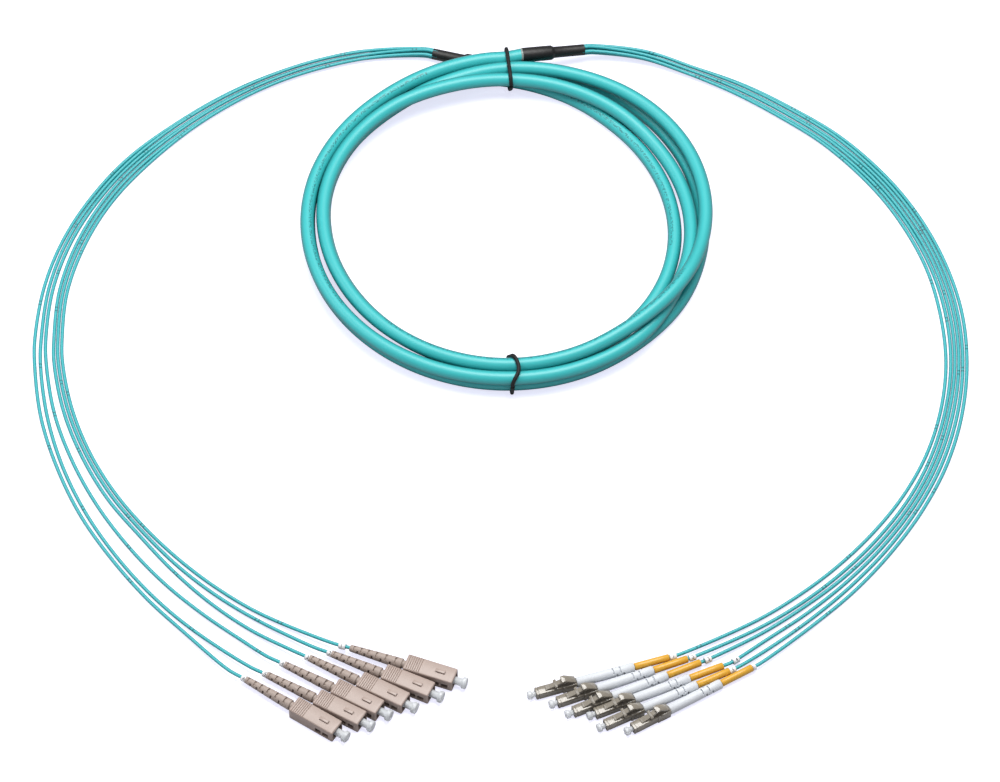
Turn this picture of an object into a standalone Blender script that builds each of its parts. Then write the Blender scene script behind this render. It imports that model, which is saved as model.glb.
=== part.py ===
"""Breakout fibre patch cord: six SC plugs, a coiled trunk cable, six LC plugs.

Metres, +Z up. The cord lies on a level floor at z = 0. Seen from above, the coil is
at the back (+Y), the SC fan comes down on the left, the LC fan on the right, and the
plugs lie in front (-Y). The origin is under the middle of the plugs, sleeves and ties.
"""

import math

import bmesh
import bpy
from mathutils import Matrix, Vector

MM = 0.001
GAP = 0.3 * MM

# Cable diameters
TRUNK_D = 7.2 * MM
LEG_D = 1.8 * MM

# The coil's outer shape: four turns, two layers high
COIL_CENTRE = (5.1 * MM, 98.0 * MM)
COIL_OUTER = 106.0 * MM
COIL_INNER = 85.5 * MM
COIL_TOP = 14.7 * MM
COIL_ROUND = 3.8 * MM

# Ties round the coil, at the back and at the front, as angles about its centre
TIE_D = 1.8 * MM
TIE_ANGLES = {"coil_tie_top": 89.7, "coil_tie_bottom": 269.2}

# Breakout sleeves: shrunk in two stages, wide on the trunk and narrow on the legs
SLEEVE_WIDE_D = 7.8 * MM
SLEEVE_NARROW_D = 5.9 * MM
SLEEVE_WIDE_LENGTH = 15.8 * MM
SLEEVE_STEP = 1.2 * MM
SC_SLEEVE_MOUTH = Vector((-33.7, 210.3, 3.95)) * MM
SC_SLEEVE_BACK = Vector((-1.1, 201.4, 3.95)) * MM
LC_SLEEVE_MOUTH = Vector((45.6, 210.6, 7.0)) * MM
LC_SLEEVE_BACK = Vector((13.0, 203.4, 11.0)) * MM

# Where the legs leave a sleeve: (outward, up) from its axis in mm, legs 1 to 6
MOUTH_PLACES = ((-1.95, 0.62), (-1.2, -1.66), (0.0, 2.05), (0.0, 0.0), (1.95, 0.62), (1.2, -1.66))

# SC plug, along its own axis from the back of the grip towards the ferrule
SC_GRIP_LENGTH = 25.2 * MM
SC_GRIP_WIDTH = 8.9 * MM
SC_GRIP_HEIGHT = 7.4 * MM
SC_GRIP_TRAVEL = 1.5 * MM
SC_WALL = 1.0 * MM
SC_RIBS = 7
SC_RIB_START = 1.3 * MM
SC_RIB_PITCH = 1.05 * MM
SC_RIB_DEPTH = 0.3 * MM
SC_CORE_FRONT = SC_GRIP_LENGTH - 3.6 * MM
SC_FERRULE_D = 2.5 * MM
SC_FERRULE_FRONT = SC_GRIP_LENGTH + 0.6 * MM
SC_BOOT_LENGTH = 28.5 * MM
SC_BOOT_D = 5.0 * MM
SC_BOOT_END_D = 3.4 * MM
SC_KEY = (4.6 * MM, 2.0 * MM, 0.8 * MM)
SC_KEY_FRONT = SC_GRIP_LENGTH - 5.1 * MM
SC_WINDOW = (5.0 * MM, 3.2 * MM)
SC_WINDOW_FRONT = SC_GRIP_LENGTH - 3.8 * MM
SC_CAP_STEM_D = 3.9 * MM
SC_CAP_HEAD_D = 5.8 * MM
SC_CAP_HEAD = 2.3 * MM
SC_CAP_FRONT = SC_GRIP_LENGTH + 6.0 * MM

# LC plug, along its own axis from the back of the body towards the ferrule
LC_BODY_LENGTH = 20.3 * MM
LC_NOSE = 4.5 * MM
LC_REAR = 5.2 * MM
LC_REAR_LENGTH = 7.2 * MM
LC_FERRULE_D = 1.25 * MM
LC_FERRULE_FRONT = LC_BODY_LENGTH - 0.6 * MM
LC_BORE_D = 3.4 * MM
LC_BORE_DEPTH = 4.4 * MM
LC_BOOT_LENGTH = 29.3 * MM
LC_BOOT_D = 5.0 * MM
LC_BOOT_END_D = 4.8 * MM
LC_SLEEVE_LENGTH = 17.5 * MM
LC_SLEEVE_D = 3.6 * MM
LC_CAP_STEM_D = 2.7 * MM
LC_CAP_HEAD_D = 4.2 * MM
LC_CAP_HEAD = 2.2 * MM
LC_CAP_FRONT = LC_BODY_LENGTH + 4.0 * MM

SC_AXIS_Z = SC_GRIP_HEIGHT / 2
LC_AXIS_Z = LC_REAR / 2

# Front of each SC grip on the floor and its heading in degrees, plug 1 the farthest
SC_PLACES = (
    (-20.0, -179.6, -20.0),
    (-31.1, -187.0, -25.0),
    (-43.3, -192.8, -29.0),
    (-55.5, -197.0, -29.7),
    (-63.9, -203.1, -30.0),
    (-75.7, -208.6, -33.6),
)
# Front of each LC body on the floor and its heading in degrees, plug 1 the farthest
LC_PLACES = (
    (18.4, -186.6, 197.8),
    (28.7, -191.5, 201.5),
    (36.3, -196.9, 204.6),
    (46.7, -197.9, 203.8),
    (51.3, -204.3, 207.0),
    (64.3, -206.1, 210.6),
)

# Route points of the legs between the sleeve and the plug, in mm, the inner leg first
SC_LANES = (
    (
        (-64.9, 209.1, 2.6), (-89.8, 202.9, 2.4), (-114.3, 192.7, 2.4), (-137.3, 178.7, 2.2),
        (-160.8, 159.4, 1.9), (-184.2, 134, 0.9), (-199.9, 110.5, 0.9), (-211.2, 84.1, 0.9),
        (-218.1, 55.1, 0.9), (-219.1, 25.8, 0.9), (-218.1, 11.2, 0.9), (-211.9, -17.4, 0.9),
        (-201.6, -44.4, 0.9), (-187.8, -69, 0.9), (-171.4, -90.6, 0.9), (-153.6, -109.5, 0.9),
        (-134.7, -126.2, 1.5), (-114.4, -140.1, 1.5),
    ),
    (
        (-65.1, 210.3, 0.9), (-90.3, 204.2, 0.9), (-114.9, 193.9, 0.9), (-138.2, 179.9, 0.9),
        (-161.9, 160.7, 0.9), (-185.5, 135.9, 0.9), (-201.4, 112, 0.9), (-213.1, 85.2, 0.9),
        (-220.1, 55.8, 0.9), (-221.2, 25.8, 0.9), (-220.2, 11, 0.9), (-213.9, -18.1, 0.9),
        (-203.4, -45.5, 0.9), (-189.6, -70.4, 0.9), (-173, -92.3, 0.9), (-155.4, -112, 0.9),
        (-136.5, -129.2, 1.5), (-116.1, -143.6, 1.5),
    ),
    (
        (-65.2, 211.5, 2.6), (-90.8, 205.5, 2.4), (-115.6, 195.1, 2.4), (-139.1, 181.2, 2.2),
        (-163, 162, 2), (-186.8, 137.8, 0.9), (-203, 113.5, 0.9), (-214.9, 86.2, 0.9),
        (-222, 56.5, 0.9), (-223.2, 25.9, 0.9), (-222.3, 10.8, 0.9), (-216, -18.9, 0.9),
        (-205.4, -46.7, 0.9), (-191.6, -72, 0.9), (-174.8, -94.1, 0.9), (-157.6, -114.8, 0.9),
        (-139.1, -133.6, 1.5), (-118.9, -149.4, 1.5),
    ),
    (
        (-65.4, 212.7, 0.9), (-91.3, 206.7, 0.9), (-116.3, 196.4, 0.9), (-140.1, 182.5, 0.9),
        (-164.2, 163.4, 0.9), (-188.1, 139.6, 0.9), (-204.8, 115.3, 0.9), (-217.6, 87.8, 0.9),
        (-225.3, 57.7, 0.9), (-227.3, 26.1, 0.9), (-226.2, 10.3, 0.9), (-220.4, -20.6, 0.9),
        (-210, -49.5, 0.9), (-196.5, -76, 0.9), (-180.4, -99.9, 0.9), (-162.4, -121.2, 0.9),
        (-142.7, -139.9, 1.5), (-122.1, -156, 1.5),
    ),
    (
        (-65.5, 213.9, 2.6), (-91.8, 208, 2.4), (-117, 197.6, 2.4), (-141, 183.7, 2.2),
        (-165.3, 164.8, 2), (-189.3, 141.3, 0.9), (-206.3, 116.8, 0.9), (-219.5, 88.9, 0.9),
        (-227.4, 58.4, 0.9), (-229.6, 26.2, 0.9), (-229.1, 10, 0.9), (-224, -21.9, 0.9),
        (-214.8, -52.3, 0.9), (-201.9, -80.4, 0.9), (-186, -105.7, 0.9), (-167.9, -128.4, 0.9),
        (-147.7, -148.5, 1.5),
    ),
    (
        (-65.7, 215.2, 0.9), (-92.3, 209.2, 0.9), (-117.7, 198.8, 0.9), (-141.9, 185, 0.9),
        (-166.5, 166.1, 0.9), (-190.5, 143, 0.9), (-207.8, 118.3, 0.9), (-221.4, 90, 0.9),
        (-229.8, 59.3, 0.9), (-232.8, 26.3, 0.9), (-232, 9.6, 0.9), (-227, -23, 0.9),
        (-217.2, -53.8, 0.9), (-204.2, -82.2, 0.9), (-187.9, -107.7, 0.9), (-169.8, -130.8, 0.9),
        (-149.7, -151.9, 1.5),
    ),
)
LC_LANES = (
    (
        (76.2, 206.8, 4.9), (100.8, 197.3, 3), (124.4, 185, 2.1), (146.4, 170, 1.8),
        (169.8, 151, 1.5), (192.9, 124, 0.9), (207.8, 98.4, 0.9), (218.7, 70.1, 0.9),
        (224.2, 40.5, 0.9), (225.3, 10.7, 0.9), (221.2, -18.1, 0.9), (212.5, -45.8, 0.9),
        (199.4, -71.1, 0.9), (183.2, -93.4, 0.9), (165.1, -112.9, 0.9), (145.3, -130.2, 1.4),
        (124.6, -144.5, 1.4),
    ),
    (
        (76.5, 207.8, 3.1), (101.3, 198.4, 1.4), (125.2, 186.4, 0.9), (147.6, 171.3, 0.9),
        (171.3, 152.2, 0.9), (194.3, 125.6, 0.9), (209.5, 100, 0.9), (220.7, 71.5, 0.9),
        (226.8, 41.4, 0.9), (227.8, 10.9, 0.9), (223.4, -18.7, 0.9), (214.7, -47.1, 0.9),
        (201.9, -73.2, 0.9), (185.7, -96.2, 0.9), (167.4, -116.3, 0.9), (147.4, -134, 1.4),
        (126.3, -148.4, 1.4),
    ),
    (
        (76.8, 209, 5), (101.8, 199.6, 3), (126, 187.8, 2.1), (148.8, 172.8, 1.9),
        (172.7, 153.5, 1.5), (195.7, 127.1, 0.9), (210.9, 101.4, 0.9), (222.5, 72.7, 0.9),
        (228.8, 42, 0.9), (229.8, 11, 0.9), (225.3, -19.2, 0.9), (216.6, -48.2, 0.9),
        (203.6, -74.7, 0.9), (187.3, -98.1, 0.9), (168.8, -118.5, 0.9), (148.6, -136.2, 1.4),
        (127.6, -151.4, 1.4),
    ),
    (
        (77.2, 210.1, 3.2), (102.3, 200.7, 1.4), (126.8, 189.2, 0.9), (149.9, 174.1, 0.9),
        (174.2, 154.7, 0.9), (197.1, 128.7, 0.9), (212.5, 102.9, 0.9), (224.2, 74, 0.9),
        (230.8, 42.7, 0.9), (231.8, 11.1, 0.9), (227.3, -19.8, 0.9), (218.4, -49.2, 0.9),
        (205.2, -76.1, 0.9), (188.9, -99.9, 0.9), (170.4, -120.8, 0.9), (150.4, -139.4, 1.4),
        (129.3, -155.5, 1.4),
    ),
    (
        (77.5, 211.3, 4.9), (102.8, 201.9, 3), (127.6, 190.6, 2.1), (151.1, 175.5, 1.8),
        (175.8, 156, 1.5), (198.5, 130.2, 0.9), (214.1, 104.4, 0.9), (225.9, 75.2, 0.9),
        (232.7, 43.4, 0.9), (233.8, 11.2, 0.9), (229.4, -20.4, 0.9), (220.3, -50.4, 0.9),
        (206.9, -77.6, 0.9), (190.6, -101.9, 0.9), (172.1, -123.4, 0.9), (152.2, -142.7, 1.4),
        (131.1, -159.8, 1.4),
    ),
    (
        (77.8, 212.4, 3.1), (103.4, 203, 1.4), (128.3, 192, 0.9), (152.2, 176.9, 0.9),
        (177.4, 157.4, 0.9), (199.9, 131.6, 0.9), (215.6, 105.9, 0.9), (227.6, 76.4, 0.9),
        (234.9, 44, 0.9), (235.9, 11.3, 0.9), (231.6, -21, 0.9), (222.4, -51.6, 0.9),
        (208.8, -79.3, 0.9), (192.4, -103.9, 0.9), (173.9, -126.1, 0.9), (153.8, -145.6, 1.4),
    ),
)

LEG_POINTS = 38

for old in list(bpy.data.objects):
    bpy.data.objects.remove(old, do_unlink=True)

scene = bpy.context.scene
cord_set = bpy.data.collections.new("breakout_patch_cord")
cutter_set = bpy.data.collections.new("cutters")
scene.collection.children.link(cord_set)
scene.collection.children.link(cutter_set)


def material(name, colour, rough=0.5, alpha=1.0):
    """One plain Principled material."""
    mat = bpy.data.materials.new(name)
    mat.use_nodes = True
    shader = mat.node_tree.nodes["Principled BSDF"]
    shader.inputs["Base Color"].default_value = (*colour, 1.0)
    shader.inputs["Roughness"].default_value = rough
    shader.inputs["Alpha"].default_value = alpha
    return mat


AQUA = (0.10, 0.52, 0.56)
BLACK = (0.015, 0.014, 0.014)
BEIGE = (0.56, 0.46, 0.42)
GREY_BEIGE = (0.55, 0.52, 0.46)
WHITE = (0.85, 0.85, 0.84)
YELLOW = (0.78, 0.50, 0.06)
CLEAR = (0.86, 0.88, 0.92)


def add_object(name, data, colour, place=None, cutter=False):
    """Puts a mesh or curve into its collection, with a material of its own."""
    item = bpy.data.objects.new(name, data)
    if cutter:
        cutter_set.objects.link(item)
        item.hide_render = True
        item.display_type = "WIRE"
    else:
        cord_set.objects.link(item)
        data.materials.clear()
        data.materials.append(material(name + "_material", colour))
    if place is not None:
        item.matrix_world = place
    return item


def finish_mesh(name, work):
    """Turns a bmesh into mesh data with its faces facing out."""
    bmesh.ops.recalc_face_normals(work, faces=work.faces)
    data = bpy.data.meshes.new(name)
    work.to_mesh(data)
    work.free()
    return data


def turned(name, profile, steps):
    """Solid turned about the X axis; profile is (x, radius), both ends on the axis."""
    work = bmesh.new()
    verts = [work.verts.new((x, r, 0.0)) for x, r in profile]
    edges = [work.edges.new(pair) for pair in zip(verts[:-1], verts[1:])]
    bmesh.ops.spin(
        work,
        geom=verts + edges,
        cent=(0.0, 0.0, 0.0),
        axis=(1.0, 0.0, 0.0),
        angle=math.tau,
        steps=steps,
        use_merge=True,
    )
    bmesh.ops.remove_doubles(work, verts=work.verts, dist=1e-7)
    return finish_mesh(name, work)


def box(name, x0, x1, width, z0, z1):
    """A block from x0 to x1, centred in Y."""
    work = bmesh.new()
    bmesh.ops.create_cube(work, size=1.0)
    bmesh.ops.scale(work, vec=(x1 - x0, width, z1 - z0), verts=work.verts)
    bmesh.ops.translate(work, vec=((x0 + x1) / 2, 0.0, (z0 + z1) / 2), verts=work.verts)
    return finish_mesh(name, work)


def plate(name, outline, width):
    """A flat outline in X and Z, drawn out to both sides of Y."""
    work = bmesh.new()
    face = work.faces.new([work.verts.new((x, -width / 2, z)) for x, z in outline])
    made = bmesh.ops.extrude_face_region(work, geom=[face])
    moved = [item for item in made["geom"] if isinstance(item, bmesh.types.BMVert)]
    bmesh.ops.translate(work, vec=(0.0, width, 0.0), verts=moved)
    return finish_mesh(name, work)


def corner_ring(work, x, width, height, cut, groove=0.0):
    """Eight corners of a block's section with its edges cut off, and its top lower in a groove."""
    w = width / 2
    h = height / 2
    top = h - groove
    corners = (
        (w - cut, top), (w, h - cut), (w, cut - h), (w - cut, -h),
        (cut - w, -h), (-w, cut - h), (-w, h - cut), (cut - w, top),
    )
    return [work.verts.new((x, y, z)) for y, z in corners]


def loft(name, sections, bore=None):
    """A block through sections (x, width, height, edge cut, groove), open right through with a bore."""
    work = bmesh.new()
    outer = [corner_ring(work, *section) for section in sections]
    skins = [outer]
    if bore:
        ends = (sections[0][0], sections[-1][0])
        skins.append([corner_ring(work, x, bore[0], bore[1], 0.3 * MM) for x in ends])
    for skin in skins:
        for near, far in zip(skin[:-1], skin[1:]):
            for k in range(8):
                work.faces.new((near[k], near[(k + 1) % 8], far[(k + 1) % 8], far[k]))
    for end in (0, -1):
        if bore:
            for k in range(8):
                m = (k + 1) % 8
                work.faces.new((skins[0][end][k], skins[0][end][m], skins[1][end][m], skins[1][end][k]))
        else:
            work.faces.new(outer[end])
    return finish_mesh(name, work)


def cut_or_join(item, other, operation):
    """Exact Boolean with an object of the cutters' collection."""
    step = item.modifiers.new(other.name, "BOOLEAN")
    step.operation = operation
    step.object = other
    step.solver = "EXACT"


def smooth_route(points, count):
    """Points evenly spaced along a smooth curve through the given ones, none below the floor."""
    line = [points[0] * 2 - points[1], *points, points[-1] * 2 - points[-2]]
    dense = []
    for a, b, c, d in zip(line[:-3], line[1:-2], line[2:-1], line[3:]):
        t1 = (b - a).length ** 0.5
        t2 = t1 + (c - b).length ** 0.5
        t3 = t2 + (d - c).length ** 0.5
        for k in range(24):
            t = t1 + (t2 - t1) * k / 24
            p = a + (b - a) * (t / t1)
            q = b + (c - b) * ((t - t1) / (t2 - t1))
            r = c + (d - c) * ((t - t2) / (t3 - t2))
            u = p + (q - p) * (t / t2)
            v = q + (r - q) * ((t - t1) / (t3 - t1))
            dense.append(u + (v - u) * ((t - t1) / (t2 - t1)))
    dense.append(points[-1].copy())
    along = [0.0]
    for here, there in zip(dense[:-1], dense[1:]):
        along.append(along[-1] + (there - here).length)
    result = []
    k = 0
    for n in range(round(count)):
        at = along[-1] * n / (count - 1)
        while k < len(along) - 2 and along[k + 1] < at:
            k += 1
        part = (at - along[k]) / (along[k + 1] - along[k])
        result.append(dense[k].lerp(dense[k + 1], min(max(part, 0.0), 1.0)))
    for p in result:
        p.z = max(p.z, LEG_D / 2 + 0.02 * MM)
    return result


def tube(name, points, diameter, colour, closed=False):
    """A round cord through the points."""
    data = bpy.data.curves.new(name, "CURVE")
    data.dimensions = "3D"
    data.bevel_depth = diameter / 2
    data.bevel_resolution = 2
    data.use_fill_caps = not closed
    spline = data.splines.new("POLY")
    spline.points.add(len(points) - 1)
    for slot, p in zip(spline.points, points):
        slot.co = (*p, 1.0)
    spline.use_cyclic_u = closed
    return add_object(name, data, colour)


def place_on_floor(x, y, z, degrees):
    """Stands a plug's own frame on the floor, turned to its heading."""
    return Matrix.Translation((x, y, z)) @ Matrix.Rotation(math.radians(degrees), 4, "Z")


# Breakout sleeves
def along_axis(start, end):
    """Frame with X from start to end."""
    turn = (end - start).to_track_quat("X", "Z").to_matrix().to_4x4()
    return Matrix.Translation(start) @ turn


sleeves = {"sc": (SC_SLEEVE_MOUTH, SC_SLEEVE_BACK), "lc": (LC_SLEEVE_MOUTH, LC_SLEEVE_BACK)}
for side, (mouth, back) in sleeves.items():
    length = (back - mouth).length
    wide = length - SLEEVE_WIDE_LENGTH
    profile = (
        (0.0, 0.0),
        (0.0, SLEEVE_NARROW_D / 2 - 0.15 * MM),
        (0.3 * MM, SLEEVE_NARROW_D / 2),
        (wide - SLEEVE_STEP, SLEEVE_NARROW_D / 2),
        (wide, SLEEVE_WIDE_D / 2),
        (length - 0.3 * MM, SLEEVE_WIDE_D / 2),
        (length, SLEEVE_WIDE_D / 2 - 0.2 * MM),
        (length, 0.0),
    )
    add_object(f"{side}_breakout_sleeve", turned("sleeve", profile, 16), BLACK, along_axis(mouth, back))

# The trunk's coil: a turned ring, with a bed for each sleeve and a notch for each tie
half = (COIL_OUTER - COIL_INNER) / 2
middle = (COIL_OUTER + COIL_INNER) / 2
cut = COIL_ROUND * 0.6
section = (
    (middle + half, COIL_ROUND),
    (middle + half, COIL_TOP - COIL_ROUND),
    (middle + half - cut, COIL_TOP - cut / 3),
    (middle, COIL_TOP),
    (middle - half + cut, COIL_TOP - cut / 3),
    (middle - half, COIL_TOP - COIL_ROUND),
    (middle - half, COIL_ROUND),
    (middle - half + cut, cut / 3),
    (middle, 0.0),
    (middle + half - cut, cut / 3),
)
work = bmesh.new()
ring = [work.verts.new((r, 0.0, z)) for r, z in section]
edges = [work.edges.new((ring[k], ring[(k + 1) % len(ring)])) for k in range(len(ring))]
bmesh.ops.spin(
    work,
    geom=ring + edges,
    cent=(0.0, 0.0, 0.0),
    axis=(0.0, 0.0, 1.0),
    angle=math.tau,
    steps=56,
    use_merge=True,
)
coil = add_object("trunk_coil", finish_mesh("trunk_coil", work), AQUA)
coil.location = (*COIL_CENTRE, 0.0)

for side, (mouth, back) in sleeves.items():
    length = (back - mouth).length
    wide = length - SLEEVE_WIDE_LENGTH - SLEEVE_STEP
    bed = (
        (-2.0 * MM, 0.0),
        (-2.0 * MM, SLEEVE_NARROW_D / 2 + GAP),
        (wide - GAP, SLEEVE_NARROW_D / 2 + GAP),
        (wide + SLEEVE_STEP - GAP, SLEEVE_WIDE_D / 2 + GAP),
        (length + GAP, SLEEVE_WIDE_D / 2 + GAP),
        (length + GAP, 0.0),
    )
    cutter = add_object(f"{side}_sleeve_bed", turned("bed", bed, 16), None, along_axis(mouth, back), True)
    cut_or_join(coil, cutter, "DIFFERENCE")

# Ties: a thin loop each, round the coil's section
for name, degrees in TIE_ANGLES.items():
    place = place_on_floor(*COIL_CENTRE, 0.0, degrees)
    off = GAP + TIE_D / 2
    inner = COIL_INNER - off
    outer = COIL_OUTER + off
    low = TIE_D / 2
    high = COIL_TOP + off
    bend = 3.2 * MM
    loop = []
    for x, z, first in (
        (outer - bend, high - bend, 90),
        (inner + bend, high - bend, 180),
        (inner + bend, low + bend, 270),
        (outer - bend, low + bend, 0),
    ):
        for k in range(5):
            turn = math.radians(first + (k - 4) * 22.5)
            loop.append(place @ Vector((x + bend * math.cos(turn), 0.0, z + bend * math.sin(turn))))
    tube(name, loop, TIE_D, BLACK, closed=True)
    notch_top = TIE_D + GAP
    notch = box("notch", COIL_INNER - 2 * MM, COIL_OUTER + 2 * MM, TIE_D + 2 * GAP, -1.0 * MM, notch_top)
    cut_or_join(coil, add_object(name + "_notch", notch, None, place, True), "DIFFERENCE")

# Shared plug shapes, each on its own axis
SC_BORE = (SC_GRIP_WIDTH - 2 * SC_WALL, SC_GRIP_HEIGHT - 2 * SC_WALL)
SC_CORE = (SC_BORE[0] - 2 * GAP, SC_BORE[1] - 2 * GAP)
SC_COLLAR = -SC_GRIP_TRAVEL - GAP

grip_sections = [(0.0, SC_GRIP_WIDTH - 0.8 * MM, SC_GRIP_HEIGHT - 0.8 * MM, 0.6 * MM)]
grip_sections.append((0.5 * MM, SC_GRIP_WIDTH, SC_GRIP_HEIGHT, 0.8 * MM))
for k in range(SC_RIBS):
    groove = SC_RIB_START + k * SC_RIB_PITCH
    for x, depth in ((0.0, 0.0), (0.2 * MM, SC_RIB_DEPTH), (0.4 * MM, 0.0)):
        grip_sections.append((groove + x, SC_GRIP_WIDTH, SC_GRIP_HEIGHT, 0.8 * MM, depth))
grip_sections += [
    (SC_GRIP_LENGTH - 0.6 * MM, SC_GRIP_WIDTH, SC_GRIP_HEIGHT, 0.8 * MM),
    (SC_GRIP_LENGTH, SC_GRIP_WIDTH - 0.8 * MM, SC_GRIP_HEIGHT - 0.8 * MM, 0.6 * MM),
]
grip_mesh = loft("sc_grip", grip_sections, SC_BORE)
key_mesh = box("sc_key", SC_KEY_FRONT - SC_KEY[0], SC_KEY_FRONT, SC_KEY[1], SC_GRIP_HEIGHT / 2 - 0.5 * MM,
               SC_GRIP_HEIGHT / 2 + SC_KEY[2])
window_mesh = box("sc_window", SC_WINDOW_FRONT - SC_WINDOW[0], SC_WINDOW_FRONT, SC_GRIP_WIDTH + 2 * MM,
                  -SC_WINDOW[1] / 2, SC_WINDOW[1] / 2)

boot = [(-SC_BOOT_LENGTH, 0.0), (-SC_BOOT_LENGTH, SC_BOOT_END_D / 2)]
for k in range(4):
    x = -SC_BOOT_LENGTH + (2.6 + 4.6 * k) * MM
    r = (SC_BOOT_END_D + (SC_BOOT_D - SC_BOOT_END_D) * (k + 1) / 5) / 2
    boot += [(x, r), (x + 0.6 * MM, r - 0.6 * MM), (x + 1.3 * MM, r)]
boot += [
    (SC_COLLAR - 6.4 * MM, SC_BOOT_D / 2),
    (SC_COLLAR - 6.0 * MM, SC_BOOT_D / 2 + 0.3 * MM),
    (SC_COLLAR, SC_BOOT_D / 2 + 0.3 * MM),
    (SC_COLLAR, 2.1 * MM),
    (4.0 * MM, 2.1 * MM),
    (4.0 * MM, SC_FERRULE_D / 2),
    (SC_FERRULE_FRONT - 0.3 * MM, SC_FERRULE_D / 2),
    (SC_FERRULE_FRONT, SC_FERRULE_D / 2 - 0.3 * MM),
    (SC_FERRULE_FRONT, 0.0),
]
plug_mesh = turned("sc_plug", boot, 10)
core_mesh = loft("sc_core", [(1.0 * MM, *SC_CORE, 0.5 * MM), (SC_CORE_FRONT, *SC_CORE, 0.5 * MM)])


def dust_cap(name, back, head, front, bore_r, stem_r, head_r, bottom):
    """A cap with a blind bore at its back."""
    profile = (
        (bottom, 0.0),
        (bottom, bore_r),
        (back, bore_r),
        (back, stem_r),
        (front - head, stem_r),
        (front - head, head_r),
        (front - 0.5 * MM, head_r),
        (front, head_r - 0.5 * MM),
        (front, 0.0),
    )
    return turned(name, profile, 10)


sc_cap_mesh = dust_cap("sc_cap", SC_CORE_FRONT + 2 * GAP, SC_CAP_HEAD, SC_CAP_FRONT, SC_FERRULE_D / 2 + GAP,
                       SC_CAP_STEM_D / 2, SC_CAP_HEAD_D / 2, SC_FERRULE_FRONT + GAP)
lc_cap_mesh = dust_cap("lc_cap", LC_BODY_LENGTH - LC_BORE_DEPTH + 2 * GAP, LC_CAP_HEAD, LC_CAP_FRONT,
                       LC_FERRULE_D / 2 + GAP, LC_CAP_STEM_D / 2, LC_CAP_HEAD_D / 2, LC_FERRULE_FRONT + GAP)

body_mesh = loft(
    "lc_body",
    [
        (0.0, LC_REAR, LC_REAR, 0.5 * MM),
        (LC_REAR_LENGTH, LC_REAR, LC_REAR, 0.5 * MM),
        (LC_REAR_LENGTH + 0.6 * MM, LC_NOSE, LC_NOSE, 0.3 * MM),
        (LC_BODY_LENGTH - 0.3 * MM, LC_NOSE, LC_NOSE, 0.3 * MM),
        (LC_BODY_LENGTH, LC_NOSE - 0.5 * MM, LC_NOSE - 0.5 * MM, 0.3 * MM),
    ],
)
latch_mesh = plate(
    "lc_latch",
    [(x * MM, z * MM) for x, z in ((12.4, 1.9), (15.4, 1.9), (15.4, 2.5), (6.1, 5.5), (5.5, 5.5), (5.5, 4.8))],
    2.6 * MM,
)
trigger_mesh = plate(
    "lc_trigger",
    [
        (x * MM, z * MM)
        for x, z in ((0.4, 2.2), (1.9, 2.2), (4.0, 5.9), (8.2, 6.2), (8.2, 6.9), (3.5, 6.7), (0.4, 3.3))
    ],
    3.6 * MM,
)
nose_bore_mesh = turned(
    "lc_nose_bore",
    (
        (LC_BODY_LENGTH - LC_BORE_DEPTH, 0.0),
        (LC_BODY_LENGTH - LC_BORE_DEPTH, LC_BORE_D / 2),
        (LC_BODY_LENGTH + 1.0 * MM, LC_BORE_D / 2),
        (LC_BODY_LENGTH + 1.0 * MM, 0.0),
    ),
    12,
)
ferrule_mesh = turned(
    "lc_ferrule",
    (
        (LC_BODY_LENGTH - LC_BORE_DEPTH - 1.0 * MM, 0.0),
        (LC_BODY_LENGTH - LC_BORE_DEPTH - 1.0 * MM, LC_FERRULE_D / 2),
        (LC_FERRULE_FRONT, LC_FERRULE_D / 2),
        (LC_FERRULE_FRONT, 0.0),
    ),
    10,
)
lc_boot = [(-LC_BOOT_LENGTH, 0.0), (-LC_BOOT_LENGTH, LC_BOOT_END_D / 2)]
for k in range(3):
    x = -LC_BOOT_LENGTH + (2.6 + 3.6 * k) * MM
    r = (LC_BOOT_END_D + (LC_BOOT_D - LC_BOOT_END_D) * (k + 1) / 8) / 2
    lc_boot += [(x, r), (x + 0.5 * MM, r - 0.5 * MM), (x + 1.1 * MM, r)]
lc_boot += [(-7.0 * MM, LC_BOOT_D / 2), (-GAP, LC_BOOT_D / 2), (-GAP, 0.0)]
lc_boot_mesh = turned("lc_boot", lc_boot, 10)

work = bmesh.new()
for radius in (LC_SLEEVE_D / 2, LEG_D / 2 + GAP):
    bmesh.ops.create_circle(work, segments=12, radius=radius)
bmesh.ops.rotate(work, matrix=Matrix.Rotation(math.pi / 2, 3, "Y"), verts=work.verts)
bmesh.ops.translate(work, vec=(-LC_BOOT_LENGTH - GAP - LC_SLEEVE_LENGTH, 0.0, 0.0), verts=work.verts)
bmesh.ops.bridge_loops(work, edges=work.edges)
made = bmesh.ops.extrude_face_region(work, geom=list(work.faces))
moved = [item for item in made["geom"] if isinstance(item, bmesh.types.BMVert)]
bmesh.ops.translate(work, vec=(LC_SLEEVE_LENGTH, 0.0, 0.0), verts=moved)
lc_sleeve_mesh = finish_mesh("lc_sleeve", work)


def leg_start(mouth, back, side_mm, up_mm):
    """Where a leg leaves a sleeve's face, with the gap, and 9 mm further out."""
    out = (mouth - back).normalized()
    side = Vector((-out.y, out.x, 0.0)).normalized()
    if side.y < 0:
        side = -side
    first = mouth + out * GAP + side * (side_mm * MM) + Vector((0.0, 0.0, up_mm * MM))
    return first, first + out * 9.0 * MM


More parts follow.
